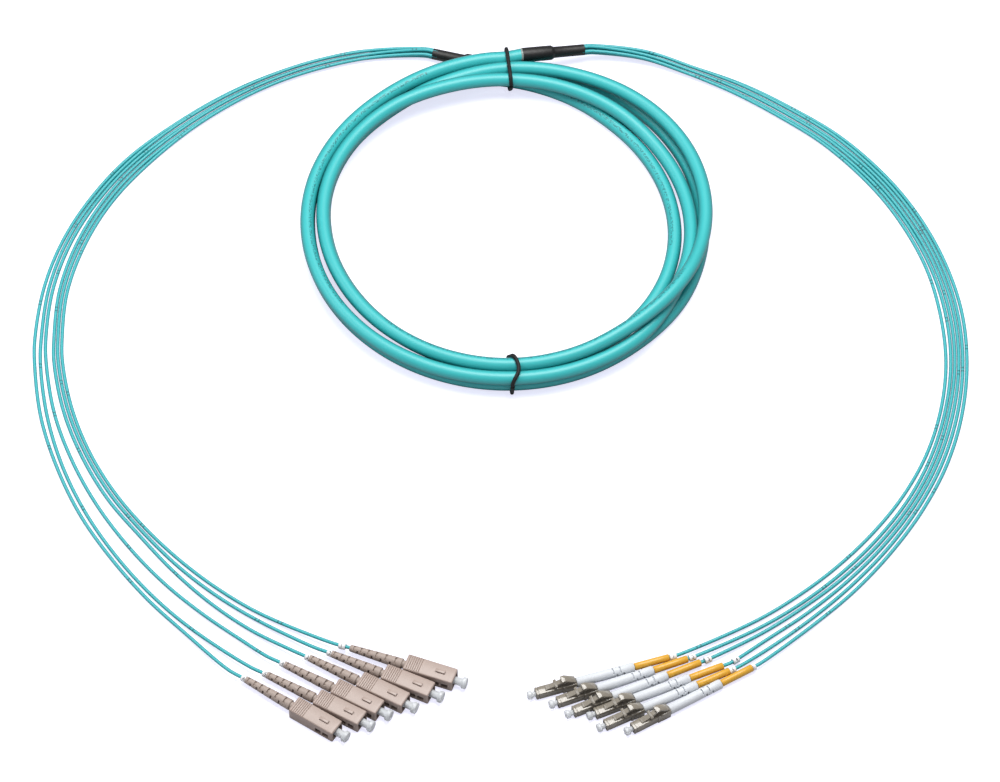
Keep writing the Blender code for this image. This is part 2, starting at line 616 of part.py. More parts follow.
for n in range(6):
    # SC plug: grip over plug, cap on the ferrule, leg into the boot
    x, y, degrees = SC_PLACES[n]
    front = place_on_floor(x * MM, y * MM, SC_AXIS_Z, degrees)
    place = front @ Matrix.Translation((-SC_GRIP_LENGTH, 0.0, 0.0))
    grip = add_object(f"sc_grip_{n + 1}", grip_mesh.copy(), BEIGE, place)
    cut_or_join(grip, add_object(f"sc_key_{n + 1}", key_mesh.copy(), None, place, True), "UNION")
    cut_or_join(grip, add_object(f"sc_window_{n + 1}", window_mesh.copy(), None, place, True), "DIFFERENCE")
    plug = add_object(f"sc_plug_{n + 1}", plug_mesh.copy(), BEIGE, place)
    cut_or_join(plug, add_object(f"sc_core_{n + 1}", core_mesh.copy(), None, place, True), "UNION")
    add_object(f"sc_cap_{n + 1}", sc_cap_mesh.copy(), CLEAR, place)
    first, second = leg_start(SC_SLEEVE_MOUTH, SC_SLEEVE_BACK, *MOUTH_PLACES[n])
    route = [first, second] + [Vector(p) * MM for p in SC_LANES[n]]
    for reach, sag in ((9.0, 0.5), (0.0, 0.0)):
        route.append(place @ Vector((-SC_BOOT_LENGTH - GAP - reach * MM, 0.0, -sag * MM)))
    tube(f"sc_leg_{n + 1}", smooth_route(route, LEG_POINTS), LEG_D, AQUA)

    # LC plug: body with latch and ferrule, boot, yellow sleeve, cap, leg through the sleeve
    x, y, degrees = LC_PLACES[n]
    front = place_on_floor(x * MM, y * MM, LC_AXIS_Z, degrees)
    place = front @ Matrix.Translation((-LC_BODY_LENGTH, 0.0, 0.0))
    body = add_object(f"lc_body_{n + 1}", body_mesh.copy(), GREY_BEIGE, place)
    for word, shape, operation in (
        ("latch", latch_mesh, "UNION"),
        ("trigger", trigger_mesh, "UNION"),
        ("nose_bore", nose_bore_mesh, "DIFFERENCE"),
        ("ferrule", ferrule_mesh, "UNION"),
    ):
        cut_or_join(body, add_object(f"lc_{word}_{n + 1}", shape.copy(), None, place, True), operation)
    add_object(f"lc_boot_{n + 1}", lc_boot_mesh.copy(), WHITE, place)
    add_object(f"lc_sleeve_{n + 1}", lc_sleeve_mesh.copy(), YELLOW, place)
    add_object(f"lc_cap_{n + 1}", lc_cap_mesh.copy(), WHITE, place)
    first, second = leg_start(LC_SLEEVE_MOUTH, LC_SLEEVE_BACK, *MOUTH_PLACES[n])
    route = [first, second] + [Vector(p) * MM for p in LC_LANES[n]]
    tail = LC_BOOT_LENGTH + GAP
    for reach in (LC_SLEEVE_LENGTH + 4.0 * MM, LC_SLEEVE_LENGTH, 9.0 * MM, GAP):
        route.append(place @ Vector((-tail - reach, 0.0, 0.0)))
    tube(f"lc_leg_{n + 1}", smooth_route(route, LEG_POINTS), LEG_D, AQUA)
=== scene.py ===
# %% [markdown]
# A breakout fibre patch cord is a thick round trunk cable with thin single-fibre legs at
# both ends. Here the trunk is wound four times round and held by two black ties. At each
# end a black shrunk sleeve lets out six aqua legs. Six end in SC plugs, six in LC plugs.
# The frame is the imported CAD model: its pieces are in metres, +Z up, and lie on the floor
# at z = 0. Everything that follows is built at its real place around it.

import math

import bmesh
import bpy
from mathutils import Matrix, Vector


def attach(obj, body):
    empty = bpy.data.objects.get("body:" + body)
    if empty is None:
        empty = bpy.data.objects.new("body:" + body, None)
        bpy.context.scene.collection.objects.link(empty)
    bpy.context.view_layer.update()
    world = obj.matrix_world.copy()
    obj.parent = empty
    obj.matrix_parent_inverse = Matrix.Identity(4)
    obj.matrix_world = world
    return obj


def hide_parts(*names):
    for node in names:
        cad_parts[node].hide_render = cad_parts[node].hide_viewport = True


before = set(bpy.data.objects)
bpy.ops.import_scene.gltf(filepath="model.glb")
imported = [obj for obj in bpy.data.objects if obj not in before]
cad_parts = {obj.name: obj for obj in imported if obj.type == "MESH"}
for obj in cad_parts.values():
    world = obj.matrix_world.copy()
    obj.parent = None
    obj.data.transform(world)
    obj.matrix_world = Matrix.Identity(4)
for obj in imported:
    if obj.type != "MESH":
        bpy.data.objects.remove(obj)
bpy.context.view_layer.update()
MM = 0.001

# %% [markdown]
# The camera stands where the photographer stood: straight in front, 54 degrees above the
# floor, far away with a long lens. A long lens keeps the coil almost as large as the
# plugs, which are nearer. It is aimed at a point on the floor just behind the middle.

# %% Camera
CAMERA_ELEVATION = math.radians(54.0)
CAMERA_DISTANCE = 2.4
CAMERA_TARGET = Vector((1.5, -6.0, 0.0)) * MM

lens = bpy.data.cameras.new("photo_camera")
lens.sensor_width = 36.0
lens.lens = 172.8
lens.clip_start = 0.1
lens.clip_end = 20.0
camera = bpy.data.objects.new("photo_camera", lens)
camera.location = CAMERA_TARGET + CAMERA_DISTANCE * Vector(
    (0.0, -math.cos(CAMERA_ELEVATION), math.sin(CAMERA_ELEVATION))
)
camera.rotation_euler = (math.pi / 2 - CAMERA_ELEVATION, 0.0, 0.0)
bpy.context.scene.collection.objects.link(camera)
bpy.context.scene.camera = camera
print("camera at", [round(v, 3) for v in camera.location])

# %% [markdown]
# A cable bends evenly, so its centreline is one smooth curve. A Catmull-Rom curve passes
# through every route point, and the centripetal kind never loops between two close ones.
# The curve is then cut into equal steps, so that marks printed on the jacket keep their
# spacing. No point goes lower than the cable's radius, because the cable lies on a floor.

# %% Smooth route
CURVE_CUTS = 24


def smooth_route(points, step, floor):
    """Points about step apart on a smooth curve through the given ones, none below floor."""
    line = [points[0] * 2 - points[1], *points, points[-1] * 2 - points[-2]]
    dense = []
    for a, b, c, d in zip(line[:-3], line[1:-2], line[2:-1], line[3:]):
        t1 = (b - a).length ** 0.5
        t2 = t1 + (c - b).length ** 0.5
        t3 = t2 + (d - c).length ** 0.5
        for k in range(CURVE_CUTS):
            t = t1 + (t2 - t1) * k / CURVE_CUTS
            p = a + (b - a) * (t / t1)
            q = b + (c - b) * ((t - t1) / (t2 - t1))
            r = c + (d - c) * ((t - t2) / (t3 - t2))
            u = p + (q - p) * (t / t2)
            v = q + (r - q) * ((t - t1) / (t3 - t1))
            dense.append(u + (v - u) * ((t - t1) / (t2 - t1)))
    dense.append(points[-1].copy())
    along = [0.0]
    for here, there in zip(dense[:-1], dense[1:]):
        along.append(along[-1] + (there - here).length)
    count = round(along[-1] / step) + 1
    result = []
    k = 0
    for n in range(count):
        at = along[-1] * n / (count - 1)
        while k < len(along) - 2 and along[k + 1] < at:
            k += 1
        share = (at - along[k]) / (along[k + 1] - along[k])
        spot = dense[k].lerp(dense[k + 1], min(max(share, 0.0), 1.0))
        spot.z = max(spot.z, floor)
        result.append(spot)
    return result


def route_length(points):
    """The length of a line through the points."""
    return sum((b - a).length for a, b in zip(points[:-1], points[1:]))


def cable(name, points, diameter, sides):
    """A round cable along the points, its UV running along it and round it."""
    data = bpy.data.curves.new(name, "CURVE")
    data.dimensions = "3D"
    data.twist_mode = "Z_UP"
    data.bevel_depth = diameter / 2
    data.bevel_resolution = sides // 2 - 2
    data.use_fill_caps = True
    spline = data.splines.new("POLY")
    spline.points.add(len(points) - 1)
    for slot, p in zip(spline.points, points):
        slot.co = (*p, 1.0)
    spline.use_smooth = True
    item = bpy.data.objects.new(name, data)
    bpy.context.scene.collection.objects.link(item)
    return item

# %% [markdown]
# The trunk's four turns lie two deep, and they change places on their way round: an
# upper turn slides down between two lower ones, and a lower one climbs out beside it.
# That is why a hand-wound coil looks lively. Each pair below is one place of the cable's
# centre, its distance from the coil's centre and its height, in mm, every 20 degrees
# clockwise from the back. No two places at one angle are closer than the cable is thick.

# %% Trunk cable
TRUNK_D = 7.2 * MM
TRUNK_STEP = 3.2 * MM
TRUNK_SIDES = 20
COIL_CENTRE = Vector((5.1, 98.1, 0.0)) * MM
LANE_STEP = 20
LANE_CUTS = 4
TRUNK_LANES = (
    (102.9, 3.8), (102.1, 3.8), (101, 3.7), (100.4, 3.6), (100.2, 3.6), (100.4, 3.6),
    (101.2, 3.6), (101, 3.6), (101.8, 3.6), (102.1, 3.6), (101.9, 3.6), (101.6, 3.6),
    (101.4, 3.6), (101.6, 3.6), (102.2, 3.6), (102.6, 3.6), (101.8, 3.6), (99.9, 3.6),
    (94.4, 3.6), (89.2, 3.6), (85.1, 3.6), (83.9, 3.6), (84.6, 3.6), (86.6, 3.6),
    (88.9, 3.6), (90.9, 3.6), (91.8, 3.6), (91.7, 3.6), (91, 3.6), (90.4, 3.6),
    (90.8, 3.6), (92.5, 3.7), (94.7, 3.9), (95.4, 4.4), (94.7, 5.5), (94.4, 9.1),
    (96, 11.4), (98.6, 10.9), (101, 11), (102.1, 11.3), (101.8, 12), (101, 13.6),
    (100.1, 17.8), (98, 17.1), (97.2, 13.7), (96.7, 12), (95.7, 11.3), (94.5, 11),
    (93.7, 10.9), (93.7, 11), (94, 11.1), (93.2, 11.4), (91.3, 12.2), (88.2, 13),
    (88.2, 11.7), (88.5, 11.1), (89.2, 9.8), (90.3, 7.4), (92.4, 7), (94.9, 8.5),
    (97.9, 10.4), (102.8, 11), (103.8, 10.6), (104, 10.7), (104.2, 10.8), (104.1, 10.8),
    (103.5, 10.8), (102.4, 10.9), (101.5, 10.9), (100.5, 10.9), (100, 11), (101.4, 11.2),
    (103.4, 11.1),
)
SLEEVE_ENDS = {
    "sc": (Vector((-33.7, 210.3, 3.95)) * MM, Vector((-1.1, 201.4, 3.95)) * MM),
    "lc": (Vector((45.6, 210.6, 7.0)) * MM, Vector((13.0, 203.4, 11.0)) * MM),
}


def trunk_points():
    """Route points every 5 degrees: the lane table read as a smooth curve about the coil."""
    points = []
    last = len(TRUNK_LANES) - 1
    for n in range(LANE_CUTS * last + 1):
        k = min(n // LANE_CUTS, last - 1)
        u = n / LANE_CUTS - k
        near = [TRUNK_LANES[min(max(k + j, 0), last)] for j in (-1, 0, 1, 2)]
        radius, height = (
            b + u / 2 * (c - a + u * (2 * a - 5 * b + 4 * c - d + u * (3 * b - a - 3 * c + d)))
            for a, b, c, d in zip(*near)
        )
        turn = math.radians(90 - LANE_STEP * n / LANE_CUTS)
        spot = Vector((radius * math.cos(turn), radius * math.sin(turn), height)) * MM
        points.append(COIL_CENTRE + spot)
    return points


IN_SLEEVE = 3.0 * MM


def into_sleeve(side):
    """Where the trunk enters a sleeve, and a point on the axis inside it."""
    mouth, back = SLEEVE_ENDS[side]
    return [back, back + (mouth - back).normalized() * IN_SLEEVE]


trunk_route = into_sleeve("sc")[::-1] + trunk_points() + into_sleeve("lc")
trunk_route = smooth_route(trunk_route, TRUNK_STEP, TRUNK_D / 2)
trunk = cable("trunk_cable", trunk_route, TRUNK_D, TRUNK_SIDES)
TRUNK_LENGTH = route_length(trunk_route)
print("trunk:", round(TRUNK_LENGTH, 3), "m in", len(trunk_route), "points")

# %% [markdown]
# The legs are soft, so they lie in one loose bundle and fan out only near their plugs.
# The route points are those of the CAD model, the inner leg of each side first. Each leg
# starts inside its sleeve's mouth and ends inside its plug's boot, both on the axis.

# %% Leg route points in mm
LEG_D = 1.8 * MM
SC_LANES = (
    (
        (-64.9, 209.1, 2.6), (-89.8, 202.9, 2.4), (-114.3, 192.7, 2.4), (-137.3, 178.7, 2.2),
        (-160.8, 159.4, 1.9), (-184.2, 134.0, 0.9), (-199.9, 110.5, 0.9), (-211.2, 84.1, 0.9),
        (-218.1, 55.1, 0.9), (-219.1, 25.8, 0.9), (-218.1, 11.2, 0.9), (-211.9, -17.4, 0.9),
        (-201.6, -44.4, 0.9), (-187.8, -69.0, 0.9), (-171.4, -90.6, 0.9), (-153.6, -109.5, 0.9),
        (-134.7, -126.2, 1.5), (-114.4, -140.1, 1.5),
    ),
    (
        (-65.1, 210.3, 0.9), (-90.3, 204.2, 0.9), (-114.9, 193.9, 0.9), (-138.2, 179.9, 0.9),
        (-161.9, 160.7, 0.9), (-185.5, 135.9, 0.9), (-201.4, 112.0, 0.9), (-213.1, 85.2, 0.9),
        (-220.1, 55.8, 0.9), (-221.2, 25.8, 0.9), (-220.2, 11.0, 0.9), (-213.9, -18.1, 0.9),
        (-203.4, -45.5, 0.9), (-189.6, -70.4, 0.9), (-173.0, -92.3, 0.9), (-155.4, -112.0, 0.9),
        (-136.5, -129.2, 1.5), (-116.1, -143.6, 1.5),
    ),
    (
        (-65.2, 211.5, 2.6), (-90.8, 205.5, 2.4), (-115.6, 195.1, 2.4), (-139.1, 181.2, 2.2),
        (-163.0, 162.0, 2.0), (-186.8, 137.8, 0.9), (-203.0, 113.5, 0.9), (-214.9, 86.2, 0.9),
        (-222.0, 56.5, 0.9), (-223.2, 25.9, 0.9), (-222.3, 10.8, 0.9), (-216.0, -18.9, 0.9),
        (-205.4, -46.7, 0.9), (-191.6, -72.0, 0.9), (-174.8, -94.1, 0.9), (-157.6, -114.8, 0.9),
        (-139.1, -133.6, 1.5), (-118.9, -149.4, 1.5),
    ),
    (
        (-65.4, 212.7, 0.9), (-91.3, 206.7, 0.9), (-116.3, 196.4, 0.9), (-140.1, 182.5, 0.9),
        (-164.2, 163.4, 0.9), (-188.1, 139.6, 0.9), (-204.8, 115.3, 0.9), (-217.6, 87.8, 0.9),
        (-225.3, 57.7, 0.9), (-227.3, 26.1, 0.9), (-226.2, 10.3, 0.9), (-220.4, -20.6, 0.9),
        (-210.0, -49.5, 0.9), (-196.5, -76.0, 0.9), (-180.4, -99.9, 0.9), (-162.4, -121.2, 0.9),
        (-142.7, -139.9, 1.5), (-122.1, -156.0, 1.5),
    ),
    (
        (-65.5, 213.9, 2.6), (-91.8, 208.0, 2.4), (-117.0, 197.6, 2.4), (-141.0, 183.7, 2.2),
        (-165.3, 164.8, 2.0), (-189.3, 141.3, 0.9), (-206.3, 116.8, 0.9), (-219.5, 88.9, 0.9),
        (-227.4, 58.4, 0.9), (-229.6, 26.2, 0.9), (-229.1, 10.0, 0.9), (-224.0, -21.9, 0.9),
        (-214.8, -52.3, 0.9), (-201.9, -80.4, 0.9), (-186.0, -105.7, 0.9), (-167.9, -128.4, 0.9),
        (-147.7, -148.5, 1.5),
    ),
    (
        (-65.7, 215.2, 0.9), (-92.3, 209.2, 0.9), (-117.7, 198.8, 0.9), (-141.9, 185.0, 0.9),
        (-166.5, 166.1, 0.9), (-190.5, 143.0, 0.9), (-207.8, 118.3, 0.9), (-221.4, 90.0, 0.9),
        (-229.8, 59.3, 0.9), (-232.8, 26.3, 0.9), (-232.0, 9.6, 0.9), (-227.0, -23.0, 0.9),
        (-217.2, -53.8, 0.9), (-204.2, -82.2, 0.9), (-187.9, -107.7, 0.9), (-169.8, -130.8, 0.9),
        (-149.7, -151.9, 1.5),
    ),
)
LC_LANES = (
    (
        (76.2, 206.8, 4.9), (100.8, 197.3, 3.0), (124.4, 185.0, 2.1), (146.4, 170.0, 1.8),
        (169.8, 151.0, 1.5), (192.9, 124.0, 0.9), (207.8, 98.4, 0.9), (218.7, 70.1, 0.9),
        (224.2, 40.5, 0.9), (225.3, 10.7, 0.9), (221.2, -18.1, 0.9), (212.5, -45.8, 0.9),
        (199.4, -71.1, 0.9), (183.2, -93.4, 0.9), (165.1, -112.9, 0.9), (145.3, -130.2, 1.4),
        (124.6, -144.5, 1.4),
    ),
    (
        (76.5, 207.8, 3.1), (101.3, 198.4, 1.4), (125.2, 186.4, 0.9), (147.6, 171.3, 0.9),
        (171.3, 152.2, 0.9), (194.3, 125.6, 0.9), (209.5, 100.0, 0.9), (220.7, 71.5, 0.9),
        (226.8, 41.4, 0.9), (227.8, 10.9, 0.9), (223.4, -18.7, 0.9), (214.7, -47.1, 0.9),
        (201.9, -73.2, 0.9), (185.7, -96.2, 0.9), (167.4, -116.3, 0.9), (147.4, -134.0, 1.4),
        (126.3, -148.4, 1.4),
    ),
    (
        (76.8, 209.0, 5.0), (101.8, 199.6, 3.0), (126.0, 187.8, 2.1), (148.8, 172.8, 1.9),
        (172.7, 153.5, 1.5), (195.7, 127.1, 0.9), (210.9, 101.4, 0.9), (222.5, 72.7, 0.9),
        (228.8, 42.0, 0.9), (229.8, 11.0, 0.9), (225.3, -19.2, 0.9), (216.6, -48.2, 0.9),
        (203.6, -74.7, 0.9), (187.3, -98.1, 0.9), (168.8, -118.5, 0.9), (148.6, -136.2, 1.4),
        (127.6, -151.4, 1.4),
    ),
    (
        (77.2, 210.1, 3.2), (102.3, 200.7, 1.4), (126.8, 189.2, 0.9), (149.9, 174.1, 0.9),
        (174.2, 154.7, 0.9), (197.1, 128.7, 0.9), (212.5, 102.9, 0.9), (224.2, 74.0, 0.9),
        (230.8, 42.7, 0.9), (231.8, 11.1, 0.9), (227.3, -19.8, 0.9), (218.4, -49.2, 0.9),
        (205.2, -76.1, 0.9), (188.9, -99.9, 0.9), (170.4, -120.8, 0.9), (150.4, -139.4, 1.4),
        (129.3, -155.5, 1.4),
    ),
    (
        (77.5, 211.3, 4.9), (102.8, 201.9, 3.0), (127.6, 190.6, 2.1), (151.1, 175.5, 1.8),
        (175.8, 156.0, 1.5), (198.5, 130.2, 0.9), (214.1, 104.4, 0.9), (225.9, 75.2, 0.9),
        (232.7, 43.4, 0.9), (233.8, 11.2, 0.9), (229.4, -20.4, 0.9), (220.3, -50.4, 0.9),
        (206.9, -77.6, 0.9), (190.6, -101.9, 0.9), (172.1, -123.4, 0.9), (152.2, -142.7, 1.4),
        (131.1, -159.8, 1.4),
    ),
    (
        (77.8, 212.4, 3.1), (103.4, 203.0, 1.4), (128.3, 192.0, 0.9), (152.2, 176.9, 0.9),
        (177.4, 157.4, 0.9), (199.9, 131.6, 0.9), (215.6, 105.9, 0.9), (227.6, 76.4, 0.9),
        (234.9, 44.0, 0.9), (235.9, 11.3, 0.9), (231.6, -21.0, 0.9), (222.4, -51.6, 0.9),
        (208.8, -79.3, 0.9), (192.4, -103.9, 0.9), (173.9, -126.1, 0.9), (153.8, -145.6, 1.4),
    ),
)
print("route points:", [len(lane) for lane in SC_LANES + LC_LANES])

# %% Plug places
SC_GRIP_LENGTH = 25.2 * MM
SC_GRIP_WIDTH = 8.9 * MM
SC_GRIP_HEIGHT = 7.4 * MM
SC_BOOT_LENGTH = 28.5 * MM
LC_BODY_LENGTH = 20.3 * MM
LC_REAR = 5.2 * MM
LC_BOOT_LENGTH = 29.3 * MM
# Front of each SC grip and of each LC body on the floor, in mm, and its heading
PLUG_PLACES = {
    "sc": (
        (-20.0, -179.6, -20.0),
        (-31.1, -187.0, -25.0),
        (-43.3, -192.8, -29.0),
        (-55.5, -197.0, -29.7),
        (-63.9, -203.1, -30.0),
        (-75.7, -208.6, -33.6),
    ),
    "lc": (
        (18.4, -186.6, 197.8),
        (28.7, -191.5, 201.5),
        (36.3, -196.9, 204.6),
        (46.7, -197.9, 203.8),
        (51.3, -204.3, 207.0),
        (64.3, -206.1, 210.6),
    ),
}


def plug_place(side, n):
    """Frame of plug n: X forward from the back of its grip or body, on its axis."""
    x, y, degrees = PLUG_PLACES[side][n]
    height = SC_GRIP_HEIGHT if side == "sc" else LC_REAR
    length = SC_GRIP_LENGTH if side == "sc" else LC_BODY_LENGTH
    front = Matrix.Translation((x * MM, y * MM, height / 2))
    heading = Matrix.Rotation(math.radians(degrees), 4, "Z")
    return front @ heading @ Matrix.Translation((-length, 0.0, 0.0))


print("plug places:", {side: len(places) for side, places in PLUG_PLACES.items()})

# %% Legs
LEG_STEP = 2.5 * MM
LEG_SIDES = 12
GAP = 0.3 * MM
MOUTH_RUN = 3.5 * MM
# Outward and upward place of each leg in its sleeve's mouth, in mm
MOUTH_PLACES = (
    (-1.95, 0.62), (-1.2, -1.66), (0.0, 2.05), (0.0, 0.0), (1.95, 0.62), (1.2, -1.66),
)
# Last points of a leg: how far behind the boot's end, negative inside it, and how far below
LEG_TAILS = {
    "sc": ((9.3, 0.5), (0.3, 0.0), (-4.0, 0.0)),
    "lc": ((21.8, 0.0), (17.8, 0.0), (9.3, 0.0), (0.6, 0.0), (-3.7, 0.0)),
}


def leg_route(side, n):
    """The leg's points from inside the sleeve's mouth to inside its boot."""
    mouth, back = SLEEVE_ENDS[side]
    out = (mouth - back).normalized()
    aside = Vector((-out.y, out.x, 0.0)).normalized()
    if aside.y < 0:
        aside = -aside
    outward, upward = MOUTH_PLACES[n]
    start = mouth + out * GAP + aside * (outward * MM) + Vector((0.0, 0.0, upward * MM))
    points = [start - out * IN_SLEEVE, start, start + out * MOUTH_RUN]
    points += [Vector(p) * MM for p in (SC_LANES if side == "sc" else LC_LANES)[n]]
    boot = SC_BOOT_LENGTH if side == "sc" else LC_BOOT_LENGTH
    for behind, below in LEG_TAILS[side]:
        points.append(plug_place(side, n) @ Vector((-boot - behind * MM, 0.0, -below * MM)))
    return points


legs = {}
for side in PLUG_PLACES:
    for n in range(6):
        route = smooth_route(leg_route(side, n), LEG_STEP, LEG_D / 2)
        legs[side, n] = (cable(f"{side}_leg_jacket_{n + 1}", route, LEG_D, LEG_SIDES), route)
    lengths = [round(route_length(legs[side, n][1]), 3) for n in range(6)]
    print(side, "legs in m:", lengths)

# %% [markdown]
# The photograph is a studio picture on a white ground: light from everywhere above, soft
# shadows just under the cables and hardly any elsewhere. A very large white floor, a
# bright sky colour and two wide area lamps give that. Colours go to the screen by the
# Standard transform, so that a hex value from a swatch comes out as itself.

# %% Floor and light
scene = bpy.context.scene
scene.view_settings.view_transform = "Standard"


def stage_floor(name, size):
    """A level white ground under everything."""
    work = bmesh.new()
    bmesh.ops.create_grid(work, x_segments=1, y_segments=1, size=size)
    data = bpy.data.meshes.new(name)
    work.to_mesh(data)
    work.free()
    item = bpy.data.objects.new(name, data)
    scene.collection.objects.link(item)
    return item


def soft_lamp(name, place, size, power, tint):
    """A square area lamp that shines from place towards the origin."""
    data = bpy.data.lights.new(name, "AREA")
    data.size = size
    data.energy = power
    data.color = tint
    item = bpy.data.objects.new(name, data)
    item.location = place
    item.rotation_euler = (-Vector(place)).to_track_quat("-Z", "Y").to_euler()
    scene.collection.objects.link(item)


floor = stage_floor("studio_floor", size=3.0)
soft_lamp("overhead_lamp", (0.1, 0.35, 1.7), size=1.1, power=38.0, tint=(1.0, 0.99, 0.97))
soft_lamp("left_lamp", (-1.3, 0.2, 1.1), size=0.9, power=7.0, tint=(0.97, 0.98, 1.0))

world = bpy.data.worlds.new("studio_sky")
world.use_nodes = True
sky = world.node_tree.nodes["Background"]
sky.inputs["Color"].default_value = (0.86, 0.87, 0.93, 1.0)
sky.inputs["Strength"].default_value = 0.34
scene.world = world
lamps = [item.name for item in scene.objects if item.type == "LIGHT"]
print("stage:", floor.name, "and lamps:", lamps)

# %% [markdown]
# Every finish is a small node tree round one Principled shader. Colours are written as
# sRGB hex, the way a swatch is read off a screen, and one function turns them to linear
# light. One more function adds a node, sets its values and links what feeds it.

# %% Colour and node helpers
def linear(code):
    """Linear colour of an sRGB hex value, with full alpha."""
    parts = [int(code[k:k + 2], 16) / 255 for k in (1, 3, 5)]
    red, green, blue = (c / 12.92 if c <= 0.04045 else ((c + 0.055) / 1.055) ** 2.4 for c in parts)
    return red, green, blue, 1.0


def add_node(tree, kind, settings=None, **sockets):
    """Adds a node; a socket takes a value or an output of another node."""
    node = tree.nodes.new(kind)
    for key, value in (settings or {}).items():
        setattr(node, key, value)
    for key, value in sockets.items():
        place = int(key[1:]) if key[1:].isdigit() else key.replace("_", " ")
        if isinstance(value, bpy.types.NodeSocket):
            tree.links.new(value, node.inputs[place])
        else:
            node.inputs[place].default_value = value
    return node


def new_finish(name, **sockets):
    """A material with one Principled shader: its tree and the shader."""
    finish = bpy.data.materials.new(name)
    finish.use_nodes = True
    shader = finish.node_tree.nodes["Principled BSDF"]
    for key, value in sockets.items():
        shader.inputs[key.replace("_", " ")].default_value = value
    return finish, finish.node_tree, shader


def ramp_between(tree, factor, stops):
    """Colour ramp over a factor; stops are (place, colour)."""
    node = add_node(tree, "ShaderNodeValToRGB", Fac=factor)
    ramp = node.color_ramp
    while len(ramp.elements) < len(stops):
        ramp.elements.new(0.5)
    for element, (place, colour) in zip(ramp.elements, stops):
        element.position = place
        element.color = colour
    return node.outputs["Color"]

# %% [markdown]
# The floor is white paper: matt, and so bright that it clips to white away from the
# object. A studio picture like this one is whitened afterwards, which leaves only pale
# lavender shadows. A faint glow that only the camera sees stands for that.

# %% Floor finish
paper, tree, shader = new_finish(
    "white_backdrop_paper",
    Base_Color=linear("#BEBEC2"),
    Roughness=1.0,
    Specular_IOR_Level=0.0,
    Emission_Color=(0.70, 0.70, 0.83, 1.0),
)
camera_only = add_node(tree, "ShaderNodeLightPath").outputs["Is Camera Ray"]
tree.links.new(camera_only, shader.inputs["Emission Strength"])
floor.data.materials.append(paper)
print("floor finish nodes:", len(tree.nodes))

# %% [markdown]
# Jackets of this cable are LSZH plastic, extruded over the fibres and yarn: satin, a
# little waxy, with very fine lengthwise lines from the die. The colour is painted darker
# towards each strand's edges, where the surface turns away from the camera: painted shade
# on its round sides. Aqua is the colour code of laser-grade multimode fibre. A curve's tube
# carries a UV map of its own, U from 0 to 1 along the cable and V round it, about 0.17 on
# its top side. The ink marks are placed by it.

# %% Aqua jacket finish
LINES_PER_METRE = 25.0
LINES_ROUND = 40.0


def maths(tree, operation, *values):
    """Output of one maths node."""
    sockets = {f"i{k}": value for k, value in enumerate(values)}
    return add_node(tree, "ShaderNodeMath", {"operation": operation}, **sockets).outputs[0]


def mixed(tree, factor, first, second):
    """Colour between two colours."""
    node = add_node(tree, "ShaderNodeMix", {"data_type": "RGBA"}, i0=factor, i6=first, i7=second)
    return node.outputs[2]


def aqua_jacket(name, length, base, deep):
    """Extruded aqua jacket with painted edge shade; also its tree, shader, tint, metres along and
    turns round it.
    """
    finish, tree, shader = new_finish(name, Roughness=0.4, IOR=1.5)
    spot = add_node(tree, "ShaderNodeTexCoord").outputs["UV"]
    parts = add_node(tree, "ShaderNodeSeparateXYZ", Vector=spot)
    along = maths(tree, "MULTIPLY", parts.outputs["X"], length)
    # Painted shade: the colour goes from base to deep where the surface turns away from the camera,
    # so each strand's round sides come out darker.
    edge = add_node(tree, "ShaderNodeLayerWeight", Blend=0.5).outputs["Facing"]
    tint = ramp_between(tree, edge, ((0.25, linear(base)), (0.95, linear(deep))))
    scale = (length * LINES_PER_METRE, LINES_ROUND, 1.0)
    spot = add_node(tree, "ShaderNodeMapping", Vector=spot, Scale=scale).outputs["Vector"]
    lines = add_node(tree, "ShaderNodeTexNoise", Vector=spot, Scale=1.0, Detail=2.0)
    height = lines.outputs["Fac"]
    bump = add_node(tree, "ShaderNodeBump", Height=height, Strength=0.06, Distance=0.05 * MM)
    tree.links.new(bump.outputs["Normal"], shader.inputs["Normal"])
    return finish, tree, shader, tint, along, parts.outputs["Y"]


print("jacket tools ready")

# %% [markdown]
# A line of small ink marks runs along the trunk, worn and too small to read in the
# photograph, so it is made of generic dashes: noise cut to a narrow strip of the jacket.

# %% Trunk jacket and its print
PRINT_SPOTS = (900.0, 30.0)
PRINT_CUT = 0.52
PRINT_ROUND = (0.27, 0.035)
PRINT_REPEAT = 0.8
PRINT_BLANK = 0.62
INK = 0.6
# The second colour is painted shade for the round sides of the trunk's strands.
finish, tree, shader, tint, along, round_it = aqua_jacket(
    "aqua_trunk_jacket_painted_shade", TRUNK_LENGTH, "#38B3B5", "#0A6568"
)
across = maths(tree, "MULTIPLY", along, PRINT_SPOTS[0])
upward = maths(tree, "MULTIPLY", round_it, PRINT_SPOTS[1])
dashes = add_node(tree, "ShaderNodeCombineXYZ", X=across, Y=upward).outputs["Vector"]
speck = add_node(tree, "ShaderNodeTexNoise", Vector=dashes, Scale=1.0, Detail=1.0)
letters = maths(tree, "GREATER_THAN", speck.outputs["Fac"], PRINT_CUT)
strip = maths(tree, "COMPARE", round_it, *PRINT_ROUND)
spell = maths(tree, "GREATER_THAN", maths(tree, "MODULO", along, PRINT_REPEAT), PRINT_BLANK)
inked = maths(tree, "MULTIPLY", maths(tree, "MULTIPLY", letters, strip), spell)
colour = mixed(tree, maths(tree, "MULTIPLY", inked, INK), tint, linear("#1D4A50"))
tree.links.new(colour, shader.inputs["Base Color"])
trunk.data.materials.append(finish)
print("trunk finish nodes:", len(tree.nodes))

# %% [markdown]
# Every 90 mm a leg has two dark tick marks close together on its upper side, the way
# breakout legs are marked in the factory. Each leg starts at its own place in that pattern.

